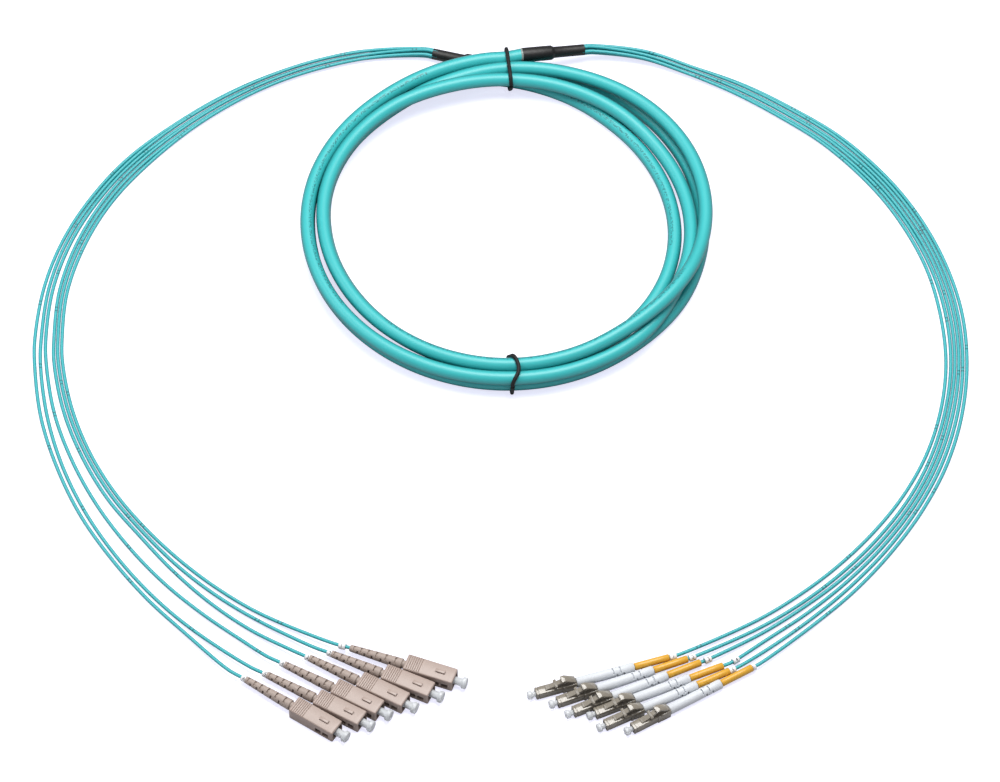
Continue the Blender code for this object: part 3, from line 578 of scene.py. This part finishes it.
# %% Leg jacket and its tick marks
LEG_LENGTH = 0.55
TICK_REPEAT = 0.09
TICK_PLACES = (0.045, 0.047)
TICK_HALF = 0.0004
TICK_ROUND = (0.2, 0.16)
# The second colour is painted shade for the round sides of the legs.
finish, tree, shader, tint, along, round_it = aqua_jacket(
    "aqua_leg_jacket_painted_shade", LEG_LENGTH, "#3CAAB0", "#0B6166"
)
own = add_node(tree, "ShaderNodeObjectInfo").outputs["Random"]
shifted = maths(tree, "ADD", along, maths(tree, "MULTIPLY", own, TICK_REPEAT))
cycle = maths(tree, "MODULO", shifted, TICK_REPEAT)
ticks = maths(tree, "ADD", *(maths(tree, "COMPARE", cycle, at, TICK_HALF) for at in TICK_PLACES))
inked = maths(tree, "MULTIPLY", ticks, maths(tree, "COMPARE", round_it, *TICK_ROUND))
colour = mixed(tree, maths(tree, "MULTIPLY", inked, INK), tint, linear("#123C40"))
tree.links.new(colour, shader.inputs["Base Color"])
for item, route in legs.values():
    item.data.materials.append(finish)
print("leg finish nodes:", len(tree.nodes))

# %% [markdown]
# Most pieces are turned or moulded blocks, so a few small tools make nearly all of them: a
# turned body, a block with rounded edges, a flat outline drawn out, cuts across a mesh
# where details begin, and slots pushed into a turned body. All of them take mm.

# %% Turned bodies and blocks


def turned(work, profile, steps, closed=False):
    """Turns a line of (x, radius) in mm about the X axis; returns the new faces."""
    before = set(work.faces)
    verts = [work.verts.new((x * MM, r * MM, 0.0)) for x, r in profile]
    pairs = list(zip(verts[:-1], verts[1:])) + ([(verts[-1], verts[0])] if closed else [])
    edges = [work.edges.new(pair) for pair in pairs]
    bmesh.ops.spin(
        work,
        geom=verts + edges,
        cent=(0.0, 0.0, 0.0),
        axis=(1.0, 0.0, 0.0),
        angle=math.tau,
        steps=steps,
        use_merge=True,
    )
    bmesh.ops.remove_doubles(work, verts=work.verts, dist=1e-6)
    return [face for face in work.faces if face not in before]


def round_edges(work, verts, radius, segments):
    """Rounds every edge at the given vertices."""
    edges = list({edge for vert in verts for edge in vert.link_edges})
    bmesh.ops.bevel(
        work,
        geom=verts + edges,
        affect="EDGES",
        offset=radius * MM,
        offset_type="OFFSET",
        segments=segments,
        profile=0.5,
        material=-1,
    )


def block(work, x, width, z, radius, segments=2):
    """A block with rounded edges from x[0] to x[1] and z[0] to z[1], centred in Y."""
    before = set(work.faces)
    verts = bmesh.ops.create_cube(work, size=MM)["verts"]
    bmesh.ops.scale(work, vec=(x[1] - x[0], width, z[1] - z[0]), verts=verts)
    middle = Vector((x[0] + x[1], 0.0, z[0] + z[1])) * MM / 2
    bmesh.ops.translate(work, vec=middle, verts=verts)
    round_edges(work, verts, radius, segments)
    work.normal_update()
    return [face for face in work.faces if face not in before]


print("turning and block tools ready")

# %% Outlines, cuts and slots
SLOT_FLOOR = 1.2 * MM


def drawn_out(work, outline, width, radius):
    """A flat outline of (x, z) drawn out across Y, with its edges rounded."""
    corners = [work.verts.new((x * MM, -width * MM / 2, z * MM)) for x, z in outline]
    face = work.faces.new(corners)
    made = bmesh.ops.extrude_face_region(work, geom=[face])
    verts = [item for item in made["geom"] if isinstance(item, bmesh.types.BMVert)]
    bmesh.ops.translate(work, vec=(0.0, width * MM, 0.0), verts=verts)
    round_edges(work, verts + list(face.verts), radius, 1)


def slice_at(work, places, normal):
    """Cuts the whole mesh along planes across one axis."""
    for place in places:
        bmesh.ops.bisect_plane(
            work,
            geom=work.verts[:] + work.edges[:] + work.faces[:],
            dist=1e-7,
            plane_co=Vector(normal) * place * MM,
            plane_no=normal,
        )


def push_slots(work, start, width, quarters, depth):
    """Sinks slots a quarter turn wide into a turned body, round the given angles."""
    chosen = []
    for face in work.faces:
        spot = face.calc_center_median()
        angle = math.degrees(math.atan2(spot.z, spot.y))
        aside = min(abs((angle - quarter + 180) % 360 - 180) for quarter in quarters)
        if start < spot.x / MM < start + width and aside < 45:
            chosen.append(face)
    made = bmesh.ops.extrude_face_region(work, geom=chosen)
    for item in made["geom"]:
        if isinstance(item, bmesh.types.BMVert):
            size = math.hypot(item.co.y, item.co.z)
            sunk = max(size - depth * MM, SLOT_FLOOR) / size
            item.co.y *= sunk
            item.co.z *= sunk
    bmesh.ops.delete(work, geom=chosen, context="FACES")


print("outline, cut and slot tools ready")

# %% [markdown]
# One function finishes every mesh: it stands the mesh at its real place, so that its object
# stays at the origin, smooths all but the sharp edges, and says which body carries it and
# which CAD solid it takes over from.

# %% A finished piece
SHARP = math.radians(40.0)


def new_piece(name, work, finishes, place, body, node=None):
    """Makes the object at its real place, riding on a body of the frame."""
    bmesh.ops.recalc_face_normals(work, faces=work.faces)
    bmesh.ops.transform(work, matrix=place, verts=work.verts)
    for edge in work.edges:
        edge.smooth = len(edge.link_faces) == 2 and edge.calc_face_angle(0.0) < SHARP
    for face in work.faces:
        face.smooth = True
    data = bpy.data.meshes.new(name)
    work.to_mesh(data)
    work.free()
    for finish in finishes:
        data.materials.append(finish)
    item = bpy.data.objects.new(name, data)
    scene.collection.objects.link(item)
    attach(item, body)
    if node:
        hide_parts(node)
    return item


print("piece tool ready")

# %% [markdown]
# The plastics. SC grips, boots and plug frames of multimode plugs are moulded in beige,
# grips hard and a little glossy, boots in a softer matt elastomer. LC bodies are a darker,
# glossier grey-beige. A very fine noise stands for the mould's spark-eroded grain.

# %% Plastic finishes
GRAIN_SHADE = 0.86


def moulded(name, colour, rough, grain, coat=0.0):
    """Moulded plastic with a fine grain; grain is the size of its spots in metres."""
    finish, tree, shader = new_finish(name, Roughness=rough, IOR=1.5, Coat_Weight=coat)
    spot = add_node(tree, "ShaderNodeTexCoord").outputs["Object"]
    noise = add_node(tree, "ShaderNodeTexNoise", Vector=spot, Scale=1 / grain, Detail=3.0)
    base = linear(colour)
    dark = (*(c * GRAIN_SHADE for c in base[:3]), 1.0)
    height = noise.outputs["Fac"]
    tint = ramp_between(tree, height, ((0.3, dark), (0.7, base)))
    tree.links.new(tint, shader.inputs["Base Color"])
    bump = add_node(tree, "ShaderNodeBump", Height=height, Strength=0.12, Distance=0.05 * MM)
    tree.links.new(bump.outputs["Normal"], shader.inputs["Normal"])
    return finish


def milky(name, colour, rough, clear):
    """Thin clear polymer: light goes in and comes out softened."""
    return new_finish(
        name,
        Base_Color=linear(colour),
        Roughness=rough,
        IOR=1.49,
        Transmission_Weight=clear,
        Subsurface_Weight=0.25,
        Subsurface_Radius=(1.0, 1.0, 1.0),
        Subsurface_Scale=1.0 * MM,
    )[0]


beige_grip = moulded("beige_moulded_grip_plastic", "#A9978E", 0.38, 0.5 * MM)
beige_boot = moulded("beige_elastomer_boot", "#A6978E", 0.55, 0.4 * MM)
# The plug frame is a darker beige than grip and boot: painted shade for the hollow inside the grip,
# seen through its windows and front.
beige_frame_painted_shade = moulded("beige_plug_frame_painted_shade", "#8E7F76", 0.45, 0.4 * MM)
lc_plastic = moulded("glossy_grey_beige_plastic", "#8A8377", 0.22, 0.5 * MM, 0.5)
white_boot = moulded("white_elastomer_boot", "#D6DADF", 0.5, 0.4 * MM)
yellow_tube = moulded("golden_yellow_tubing", "#DCA635", 0.36, 0.5 * MM)
ceramic = new_finish("zirconia_ferrule", Base_Color=linear("#EDEAE2"), Roughness=0.12)[0]
cap_plastic = milky("milky_clear_dust_cap", "#EDF0F3", 0.3, 0.45)
ring_plastic = milky("clear_white_number_ring", "#F5F6F8", 0.25, 0.12)
print("finishes:", len(bpy.data.materials))

# %% [markdown]
# An SC plug is pushed in and pulled out by its grip, a rectangular sleeve that slides on
# the plug frame. Real grips have fine ribs across the rear of the top for the finger, a
# key bar that turns the plug the right way round, and two small windows in each side,
# where the adapter's latches snap in. The block is bored through by bridging its two ends.

# %% SC grip, bored through
grip_long, grip_wide, half = (v / MM for v in (SC_GRIP_LENGTH, SC_GRIP_WIDTH, SC_GRIP_HEIGHT / 2))
grip = bmesh.new()
block(grip, (0.0, grip_long), grip_wide, (-half, half), radius=0.65, segments=3)
ends = []
for sign in (-1, 1):
    facing = [f for f in grip.faces if f.normal.x * sign > 0.99]
    ends.append(max(facing, key=lambda f: f.calc_area()))
bmesh.ops.inset_individual(grip, faces=ends, thickness=0.35 * MM)
bmesh.ops.delete(grip, geom=ends, context="FACES_ONLY")
bmesh.ops.bridge_loops(grip, edges=[edge for edge in grip.edges if edge.is_boundary])
print("sc grip faces:", len(grip.faces))

# %% SC grip's windows
SC_WINDOWS = ((15.2, 18.6), (19.4, 22.9))
SC_WINDOW_LOW, SC_WINDOW_HIGH = -2.1, 0.7
slice_at(grip, [x for pair in SC_WINDOWS for x in pair], (1.0, 0.0, 0.0))
slice_at(grip, (SC_WINDOW_LOW, SC_WINDOW_HIGH), (0.0, 0.0, 1.0))
grip.normal_update()
for start, end in SC_WINDOWS:
    for sign in (-1, 1):
        pane = []
        for f in grip.faces:
            x, y, z = f.calc_center_median() / MM
            inside = start < x < end and SC_WINDOW_LOW < z < SC_WINDOW_HIGH
            if abs(f.normal.y) > 0.99 and y * sign > 0 and inside:
                pane.append(f)
        rims = {edge for f in pane for edge in f.edges}
        bmesh.ops.delete(grip, geom=pane, context="FACES_ONLY")
        bmesh.ops.bridge_loops(grip, edges=list(rims))
print("sc grip faces with windows:", len(grip.faces))

# %% SC grip's ribs and key
SC_RIBS = [1.3 + 1.05 * k for k in range(7)]
SC_RIB_HALF = 0.22
SC_RIB_DEPTH = 0.32 * MM
for start in SC_RIBS:
    groove = start + SC_RIB_HALF
    slice_at(grip, (start, groove, groove + SC_RIB_HALF), (1.0, 0.0, 0.0))
    for vert in grip.verts:
        if abs(vert.co.x - groove * MM) < 1e-6 and vert.co.z > (half - 0.3) * MM:
            vert.co.z -= SC_RIB_DEPTH
block(grip, (15.4, 20.2), 1.8, (half - 0.4, half + 0.8), radius=0.18)
print("sc grip faces in all:", len(grip.faces))

# %% [markdown]
# The SC boot keeps the leg from bending sharply where it enters. It is a soft cone with
# slots a quarter turn wide, by turns above and below and to left and right, so it bends
# evenly every way. The slots come closer together towards the leg, where it bends most.
# Inside the grip sit the plug frame, waisted where the windows are, and the ferrule.

# %% SC boot
SC_SLOTS = (4.4, 6.8, 9.3, 11.7, 14.2, 16.3, 18.3, 20.1, 21.9, 23.8, 25.6)
SC_SLOT_WIDTH = 0.95
SC_SLOT_DEPTH = 1.0


def cone_radius(back):
    """The SC boot's radius at a distance behind the grip."""
    return 2.62 - 0.9 * min(max((back - 6.0) / 22.5, 0.0), 1.0)


end = -SC_BOOT_LENGTH / MM
line = [(end, 0.9), (end, 1.5), (end + 0.3, 1.7)]
for back in reversed(SC_SLOTS):
    line += [(-x, cone_radius(x)) for x in (back + SC_SLOT_WIDTH, back)]
line += [(-1.9, 2.7), (-1.6, 2.4), (-1.6, 2.05), (3.0, 2.05)]
sc_boot = bmesh.new()
turned(sc_boot, line, 24)
for k, back in enumerate(SC_SLOTS):
    quarters = (90, -90) if k % 2 == 0 else (0, 180)
    push_slots(sc_boot, -back - SC_SLOT_WIDTH, SC_SLOT_WIDTH, quarters, SC_SLOT_DEPTH)
print("sc boot faces:", len(sc_boot.faces))

# %% SC plug frame and ferrule
SC_CORE_FRONT = 21.6
SC_WAIST = 0.72
for f in block(sc_boot, (1.0, SC_CORE_FRONT), 6.2, (-2.3, 2.3), radius=0.4):
    f.material_index = 1
slice_at(sc_boot, (14.6, 15.0, 20.9, 21.2), (1.0, 0.0, 0.0))
for vert in sc_boot.verts:
    if 14.9 * MM < vert.co.x < 21.0 * MM:
        vert.co.y *= SC_WAIST
line = ((SC_CORE_FRONT, 0.0), (SC_CORE_FRONT, 1.25), (25.5, 1.25), (25.8, 0.95), (25.8, 0.0))
for f in turned(sc_boot, line, 20):
    f.material_index = 2
print("sc plug faces:", len(sc_boot.faces))

# %% [markdown]
# Dust caps keep the polished ferrules clean: a stem that pushes over the ferrule and a
# round head to pull it off by. They are soft clear polymer, so they look milky.

# %% Dust caps
def dust_cap(back, bore_end, front, bore, stem, head, thick):
    """A cap on the plug's axis: places along it, and radii for bore, stem and head."""
    work = bmesh.new()
    neck = front - thick
    line = (
        (bore_end, 0.0), (bore_end, bore), (back, bore), (back, stem - 0.1), (back + 0.1, stem),
        (neck - 0.4, stem), (neck - 0.1, stem + 0.15), (neck, stem + 0.4), (neck, head - 0.35),
        (neck + 0.12, head - 0.1), (neck + 0.4, head), (front - 0.6, head),
        (front - 0.25, head - 0.12), (front - 0.05, head - 0.4), (front, head - 0.8), (front, 0.0),
    )
    turned(work, line, 28)
    return work


sc_cap = dust_cap(back=22.2, bore_end=26.1, front=31.2, bore=1.55, stem=1.95, head=2.9, thick=2.3)
lc_cap = dust_cap(back=16.5, bore_end=20.0, front=24.3, bore=0.93, stem=1.35, head=2.1, thick=2.2)
print("cap faces:", len(sc_cap.faces), len(lc_cap.faces))

# %% [markdown]
# An LC plug is half the size of an SC plug. Its latch is a thin arm that rises backwards
# from the nose and carries two lugs, which snap into the adapter. A second arm from the
# rear reaches forward over it: press that trigger and the latch goes down. Both arms are
# moulded in one with the body and simply flex, so they are no moving pieces.

# %% LC body
LC_NOSE = 4.5
LC_BORE_DEPTH = 4.4
LC_GROOVE = 0.93
rear = LC_REAR / MM
lc = bmesh.new()
block(lc, (0.0, 7.2), rear, (-rear / 2, rear / 2), radius=0.4)
nose = block(lc, (6.8, LC_BODY_LENGTH / MM), LC_NOSE, (-LC_NOSE / 2, LC_NOSE / 2), radius=0.28)
front = max((f for f in nose if f.normal.x > 0.99), key=lambda f: f.calc_area())
bmesh.ops.inset_individual(lc, faces=[front], thickness=0.4 * MM)
made = bmesh.ops.extrude_face_region(lc, geom=[front])
deep = [item for item in made["geom"] if isinstance(item, bmesh.types.BMVert)]
bmesh.ops.translate(lc, vec=(-LC_BORE_DEPTH * MM, 0.0, 0.0), verts=deep)
bmesh.ops.delete(lc, geom=[front], context="FACES")
slice_at(lc, (5.2, 5.6, 6.0, 18.7, 18.85, 19.05, 19.2), (1.0, 0.0, 0.0))
for vert in lc.verts:
    x, y, z = vert.co / MM
    near_rim = 18.8 < x < 19.1 and max(abs(y), abs(z)) > 1.95
    if near_rim or abs(x - 5.6) < 1e-3:
        vert.co.y *= LC_GROOVE
        vert.co.z *= LC_GROOVE
print("lc body faces:", len(lc.faces))

# %% LC latch, trigger and ferrule
LATCH_ARM = (
    (12.2, 1.9), (15.6, 1.9), (15.6, 2.5), (14.8, 2.95), (6.0, 5.7), (5.3, 5.7), (5.3, 5.0),
)
LATCH_LUGS = ((9.6, 3.8), (11.0, 3.35), (11.0, 4.35), (9.6, 4.85))
TRIGGER = (
    (0.3, 2.2), (1.7, 2.2), (2.1, 3.2), (5.8, 6.05), (7.6, 5.9), (7.7, 6.5), (5.7, 6.9), (0.3, 3.5),
)
drawn_out(lc, LATCH_ARM, width=2.5, radius=0.12)
drawn_out(lc, LATCH_LUGS, width=4.6, radius=0.12)
drawn_out(lc, TRIGGER, width=3.7, radius=0.14)
for f in turned(lc, ((15.0, 0.62), (19.5, 0.62), (19.7, 0.45), (19.7, 0.0)), 14):
    f.material_index = 1
print("lc body faces with its arms:", len(lc.faces))

# %% [markdown]
# The LC boot is nearly a plain cylinder, with four slots towards its rear. Behind it comes
# a piece of golden-yellow tubing over the leg, which closes off the end of the jacket.

# %% LC boot and yellow sleeve
LC_SLEEVE_LENGTH = 17.5 * MM
LC_SLOTS = (18.3, 19.9, 21.8, 23.4)
LC_SLOT_WIDTH = 0.7
LC_SLOT_DEPTH = 0.9
end = -LC_BOOT_LENGTH / MM
line = [(end, 0.9), (end, 2.15), (end + 0.3, 2.4)]
for back in reversed(LC_SLOTS):
    line += [(-back - LC_SLOT_WIDTH, 2.43), (-back, 2.43)]
line += [(-15.0, 2.5), (-0.5, 2.5), (-0.3, 2.35), (-0.3, 0.0)]
lc_boot = bmesh.new()
turned(lc_boot, line, 24)
for k, back in enumerate(LC_SLOTS):
    quarters = (75, -105) if k % 2 == 0 else (165, -15)
    push_slots(lc_boot, -back - LC_SLOT_WIDTH, LC_SLOT_WIDTH, quarters, LC_SLOT_DEPTH)

near = end - GAP / MM
far = near - LC_SLEEVE_LENGTH / MM
line = (
    (far, 1.25), (far, 1.62), (far + 0.2, 1.78), (far + 6.0, 1.8),
    (near - 5.0, 1.8), (near - 0.2, 1.8), (near, 1.65), (near, 1.25),
)
lc_tube = bmesh.new()
turned(lc_tube, line, 24, closed=True)
print("lc boot and tube faces:", len(lc_boot.faces), len(lc_tube.faces))

# %% [markdown]
# One set of shapes serves all twelve plugs: each is copied and stood at its own place.

# %% Plugs in place
# Name, shape, finishes, slot, and whether it slides on the plug
PLUG_PARTS = {
    "sc": (
        ("plug", sc_boot, (beige_boot, beige_frame_painted_shade, ceramic), "sc_plug", False),
        ("grip", grip, (beige_grip,), "sc_grip", True),
        ("cap", sc_cap, (cap_plastic,), "dust_cap", True),
    ),
    "lc": (
        ("body", lc, (lc_plastic, ceramic), "lc_body", False),
        ("boot", lc_boot, (white_boot,), "lc_boot", False),
        ("sleeve", lc_tube, (yellow_tube,), "lc_sleeve", False),
        ("cap", lc_cap, (cap_plastic,), "dust_cap", True),
    ),
}
plugs = {key: [] for key in legs}
for n in range(6):
    for side, parts in PLUG_PARTS.items():
        for part, shape, finishes, slot, slides in parts:
            name = f"{side}_{part}_{n + 1}"
            body = name if slides else "cord"
            place = plug_place(side, n)
            piece = new_piece(name, shape.copy(), finishes, place, body, name)
            plugs[side, n].append(piece)
for parts in PLUG_PARTS.values():
    for part, shape, *rest in parts:
        shape.free()
print("plug pieces:", sum(len(pieces) for pieces in plugs.values()))

# %% [markdown]
# The breakout sleeves are heat-shrink tubing, shrunk in two stages: wide over the trunk's
# jacket and narrow over the bundle of legs. The tube is open at both ends, and the cables
# disappear into it. Shrinking leaves slow waves and a soft shine on the black polyolefin.

# %% Breakout sleeves
SLEEVE_WIDE = 15.8
shrink, tree, shader = new_finish(
    "black_heat_shrink_polyolefin", Base_Color=linear("#0D0B0B"), Roughness=0.5
)
spot = add_node(tree, "ShaderNodeTexCoord").outputs["Object"]
waves = add_node(tree, "ShaderNodeTexNoise", Vector=spot, Scale=1 / (4 * MM), Detail=4.0)
height = waves.outputs["Fac"]
bump = add_node(tree, "ShaderNodeBump", Height=height, Strength=0.5, Distance=0.4 * MM)
tree.links.new(bump.outputs["Normal"], shader.inputs["Normal"])
glue = new_finish(
    "clear_hot_melt_glue",
    Base_Color=linear("#B9C2BE"),
    Roughness=0.25,
    Transmission_Weight=0.5,
)[0]

for side, (mouth, back) in SLEEVE_ENDS.items():
    long = (back - mouth).length / MM
    step = long - SLEEVE_WIDE
    tube = (
        (3.0, 0.0), (3.0, 2.7), (0.3, 2.72), (0.0, 2.8), (0.1, 2.93), (step * 0.5, 2.95),
        (step - 1.6, 3.0), (step - 0.9, 3.25), (step - 0.2, 3.75), (step + 0.3, 3.88),
        (step + 6.0, 3.9), (long - 0.3, 3.9), (long, 3.8), (long, 3.64), (long - 2.9, 3.62),
        (long - 3.0, 0.0),
    )
    glue_ring = ((long - 0.2, 3.62), (long, 3.75), (long + 0.9, 3.72), (long + 1.0, 3.62))
    work = bmesh.new()
    turned(work, tube, 32)
    for f in turned(work, glue_ring, 32, closed=True):
        f.material_index = 1
    turn = (back - mouth).to_track_quat("X", "Z").to_matrix().to_4x4()
    place = Matrix.Translation(mouth) @ turn
    name = f"{side}_breakout_sleeve"
    piece = new_piece(name, work, (shrink, glue), place, "cord", name)

# %% [markdown]
# Two thin black ties hold the turns together. Each is a wire in plastic, pulled tight, so
# it lies along the outline of the bundle: the smallest loop round all the strands, which
# is the convex hull of their circles, found here where the tie's plane cuts the trunk.

# %% Ties
TIE_D = 2.0 * MM
TIE_GAP = 0.1 * MM
TIE_STEP = 1.5 * MM
TIE_UPPER = 9.0 * MM
# Angle about the coil's centre, and how far its inner side, its top and its outer side
# lie to the right of that, in mm
TIE_PLACES = {
    "coil_tie_top": (89.7, 1.8, 0.4, -1.0),
    "coil_tie_bottom": (269.2, 1.6, 6.8, 4.2),
}
tie_black = moulded("black_tie_plastic", "#030303", 0.7, 0.4 * MM)


def strands_at(degrees):
    """Where the trunk crosses the half plane at an angle: (distance from centre, height)."""
    turn = Matrix.Rotation(-math.radians(degrees), 3, "Z")
    local = [turn @ (p - COIL_CENTRE) for p in trunk_route]
    found = []
    for a, b in zip(local[:-1], local[1:]):
        if a.x > 0 and a.y * b.y <= 0 and a.y != b.y:
            spot = a.lerp(b, a.y / (a.y - b.y))
            found.append((spot.x, spot.z))
    return found


def hull(points):
    """The outline of the smallest convex shape round the points, counter-clockwise."""
    ordered = sorted(points)
    line = []
    for run in (ordered, ordered[::-1]):
        part = []
        for p in run:
            while len(part) > 1:
                (ax, az), (bx, bz) = part[-2:]
                if (bx - ax) * (p[1] - az) - (bz - az) * (p[0] - ax) > 1e-12:
                    break
                part.pop()
            part.append(p)
        line += part[:-1]
    return line


def tie_outline(degrees):
    """The tie's closed line round the strands: points (distance from centre, height)."""
    reach = TRUNK_D / 2 + TIE_D / 2 + TIE_GAP
    round_them = []
    for r, z in strands_at(degrees):
        for k in range(24):
            turn = math.radians(15 * k)
            low = max(z + reach * math.sin(turn), TIE_D / 2)
            round_them.append((r + reach * math.cos(turn), low))
    corners = hull(round_them)
    line = []
    for (ax, az), (bx, bz) in zip(corners, corners[1:] + corners[:1]):
        parts = max(1, round(math.hypot(bx - ax, bz - az) / TIE_STEP))
        line += [(ax + (bx - ax) * k / parts, az + (bz - az) * k / parts) for k in range(parts)]
    return line


for name, (degrees, inner, upper, outer) in TIE_PLACES.items():
    turn = Matrix.Rotation(math.radians(degrees), 3, "Z")
    line = tie_outline(degrees)
    near, far = min(r for r, z in line), max(r for r, z in line)
    loop = []
    for r, z in line:
        across = (r - near) / (far - near)
        lean = inner + (outer - inner) * across
        if z > TIE_UPPER:
            lean += (upper - (inner + outer) / 2) * math.sin(math.pi * across ** 1.5)
        spot = COIL_CENTRE + turn @ Vector((r, 0.0, z))
        loop.append(spot + Vector((lean * MM, 0.0, 0.0)))
    tie = cable(name, loop, TIE_D, 12)
    tie.data.splines[0].use_cyclic_u = True
    tie.data.use_fill_caps = False
    tie.data.materials.append(tie_black)
    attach(tie, "cord")
    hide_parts(name)
    print(name, "has", len(loop), "points")

# %% [markdown]
# Each leg carries a small clear ring with its number, so that both ends of one fibre can
# be found. It is slid on before the plug is fitted and sits near the boot. The digit is
# Blender's own typeface, turned to a mesh and wrapped round the ring.

# %% Digits
DIGIT_HEIGHT = 1.9 * MM
DIGIT_RADIUS = 1.76 * MM
DIGIT_TURN = math.radians(30.0)
ink = moulded("black_marking_ink", "#15171C", 0.5, 0.4 * MM)


def digit_mesh(number):
    """The digit as flat faces wrapped on a cylinder along X, reading along it on top."""
    text = bpy.data.curves.new(f"digit_{number}", "FONT")
    text.body = str(number)
    text.size = DIGIT_HEIGHT * 1.4
    text.align_x = "CENTER"
    text.align_y = "CENTER"
    text.resolution_u = 3
    holder = bpy.data.objects.new("digit_holder", text)
    scene.collection.objects.link(holder)
    bpy.context.view_layer.update()
    flat = holder.evaluated_get(bpy.context.evaluated_depsgraph_get()).to_mesh()
    work = bmesh.new()
    work.from_mesh(flat)
    holder.to_mesh_clear()
    bpy.data.objects.remove(holder)
    bmesh.ops.subdivide_edges(work, edges=work.edges[:], cuts=1, use_grid_fill=True)
    for vert in work.verts:
        angle = vert.co.y / DIGIT_RADIUS
        vert.co.y = DIGIT_RADIUS * math.sin(angle)
        vert.co.z = DIGIT_RADIUS * math.cos(angle)
    return work


print("digit tool ready")

# %% Number rings
# How far each ring's middle lies behind the boot or the yellow sleeve, in mm
RING_PLACES = {"sc": (8.0, 4.0, 4.0, 4.0, 4.0, 4.0), "lc": (6.0, 6.5, 8.0, 11.0, 5.5, 4.0)}
RING_LINE = ((-1.7, 0.98), (-1.7, 1.5), (-1.45, 1.72), (1.45, 1.72), (1.7, 1.5), (1.7, 0.98))


def place_on_leg(route, distance):
    """Frame on a leg, X towards its plug, at a distance before the route's end."""
    left = distance
    for here, there in zip(route[::-1], route[-2::-1]):
        step = (here - there).length
        if left < step:
            break
        left -= step
    turn = (here - there).to_track_quat("X", "Z").to_matrix().to_4x4()
    return Matrix.Translation(here.lerp(there, left / step)) @ turn


for (side, n), (item, route) in legs.items():
    work = bmesh.new()
    turned(work, RING_LINE, 20, closed=True)
    mark = digit_mesh(n + 1)
    lead, tilt = 0.0, DIGIT_TURN
    if side == "lc":
        lead, tilt = LC_SLEEVE_LENGTH, -DIGIT_TURN
        bmesh.ops.rotate(mark, verts=mark.verts, matrix=Matrix.Rotation(math.pi, 3, "Z"))
    bmesh.ops.rotate(mark, verts=mark.verts, matrix=Matrix.Rotation(tilt, 3, "X"))
    for f in mark.faces:
        f.material_index = 1
    data = bpy.data.meshes.new("digit")
    mark.to_mesh(data)
    mark.free()
    work.from_mesh(data)
    bpy.data.meshes.remove(data)
    name = f"{side}_ring_{n + 1}"
    place = place_on_leg(route, lead + RING_PLACES[side][n] * MM)
    ring = new_piece(name, work, (ring_plastic, ink), place, "cord")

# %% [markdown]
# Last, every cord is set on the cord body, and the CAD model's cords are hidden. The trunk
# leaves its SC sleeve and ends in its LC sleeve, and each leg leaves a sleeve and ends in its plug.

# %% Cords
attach(trunk, "cord")
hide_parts("trunk_coil")
for (side, n), (item, route) in legs.items():
    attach(item, "cord")
    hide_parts(f"{side}_leg_{n + 1}")
print("cords:", 1 + len(legs))
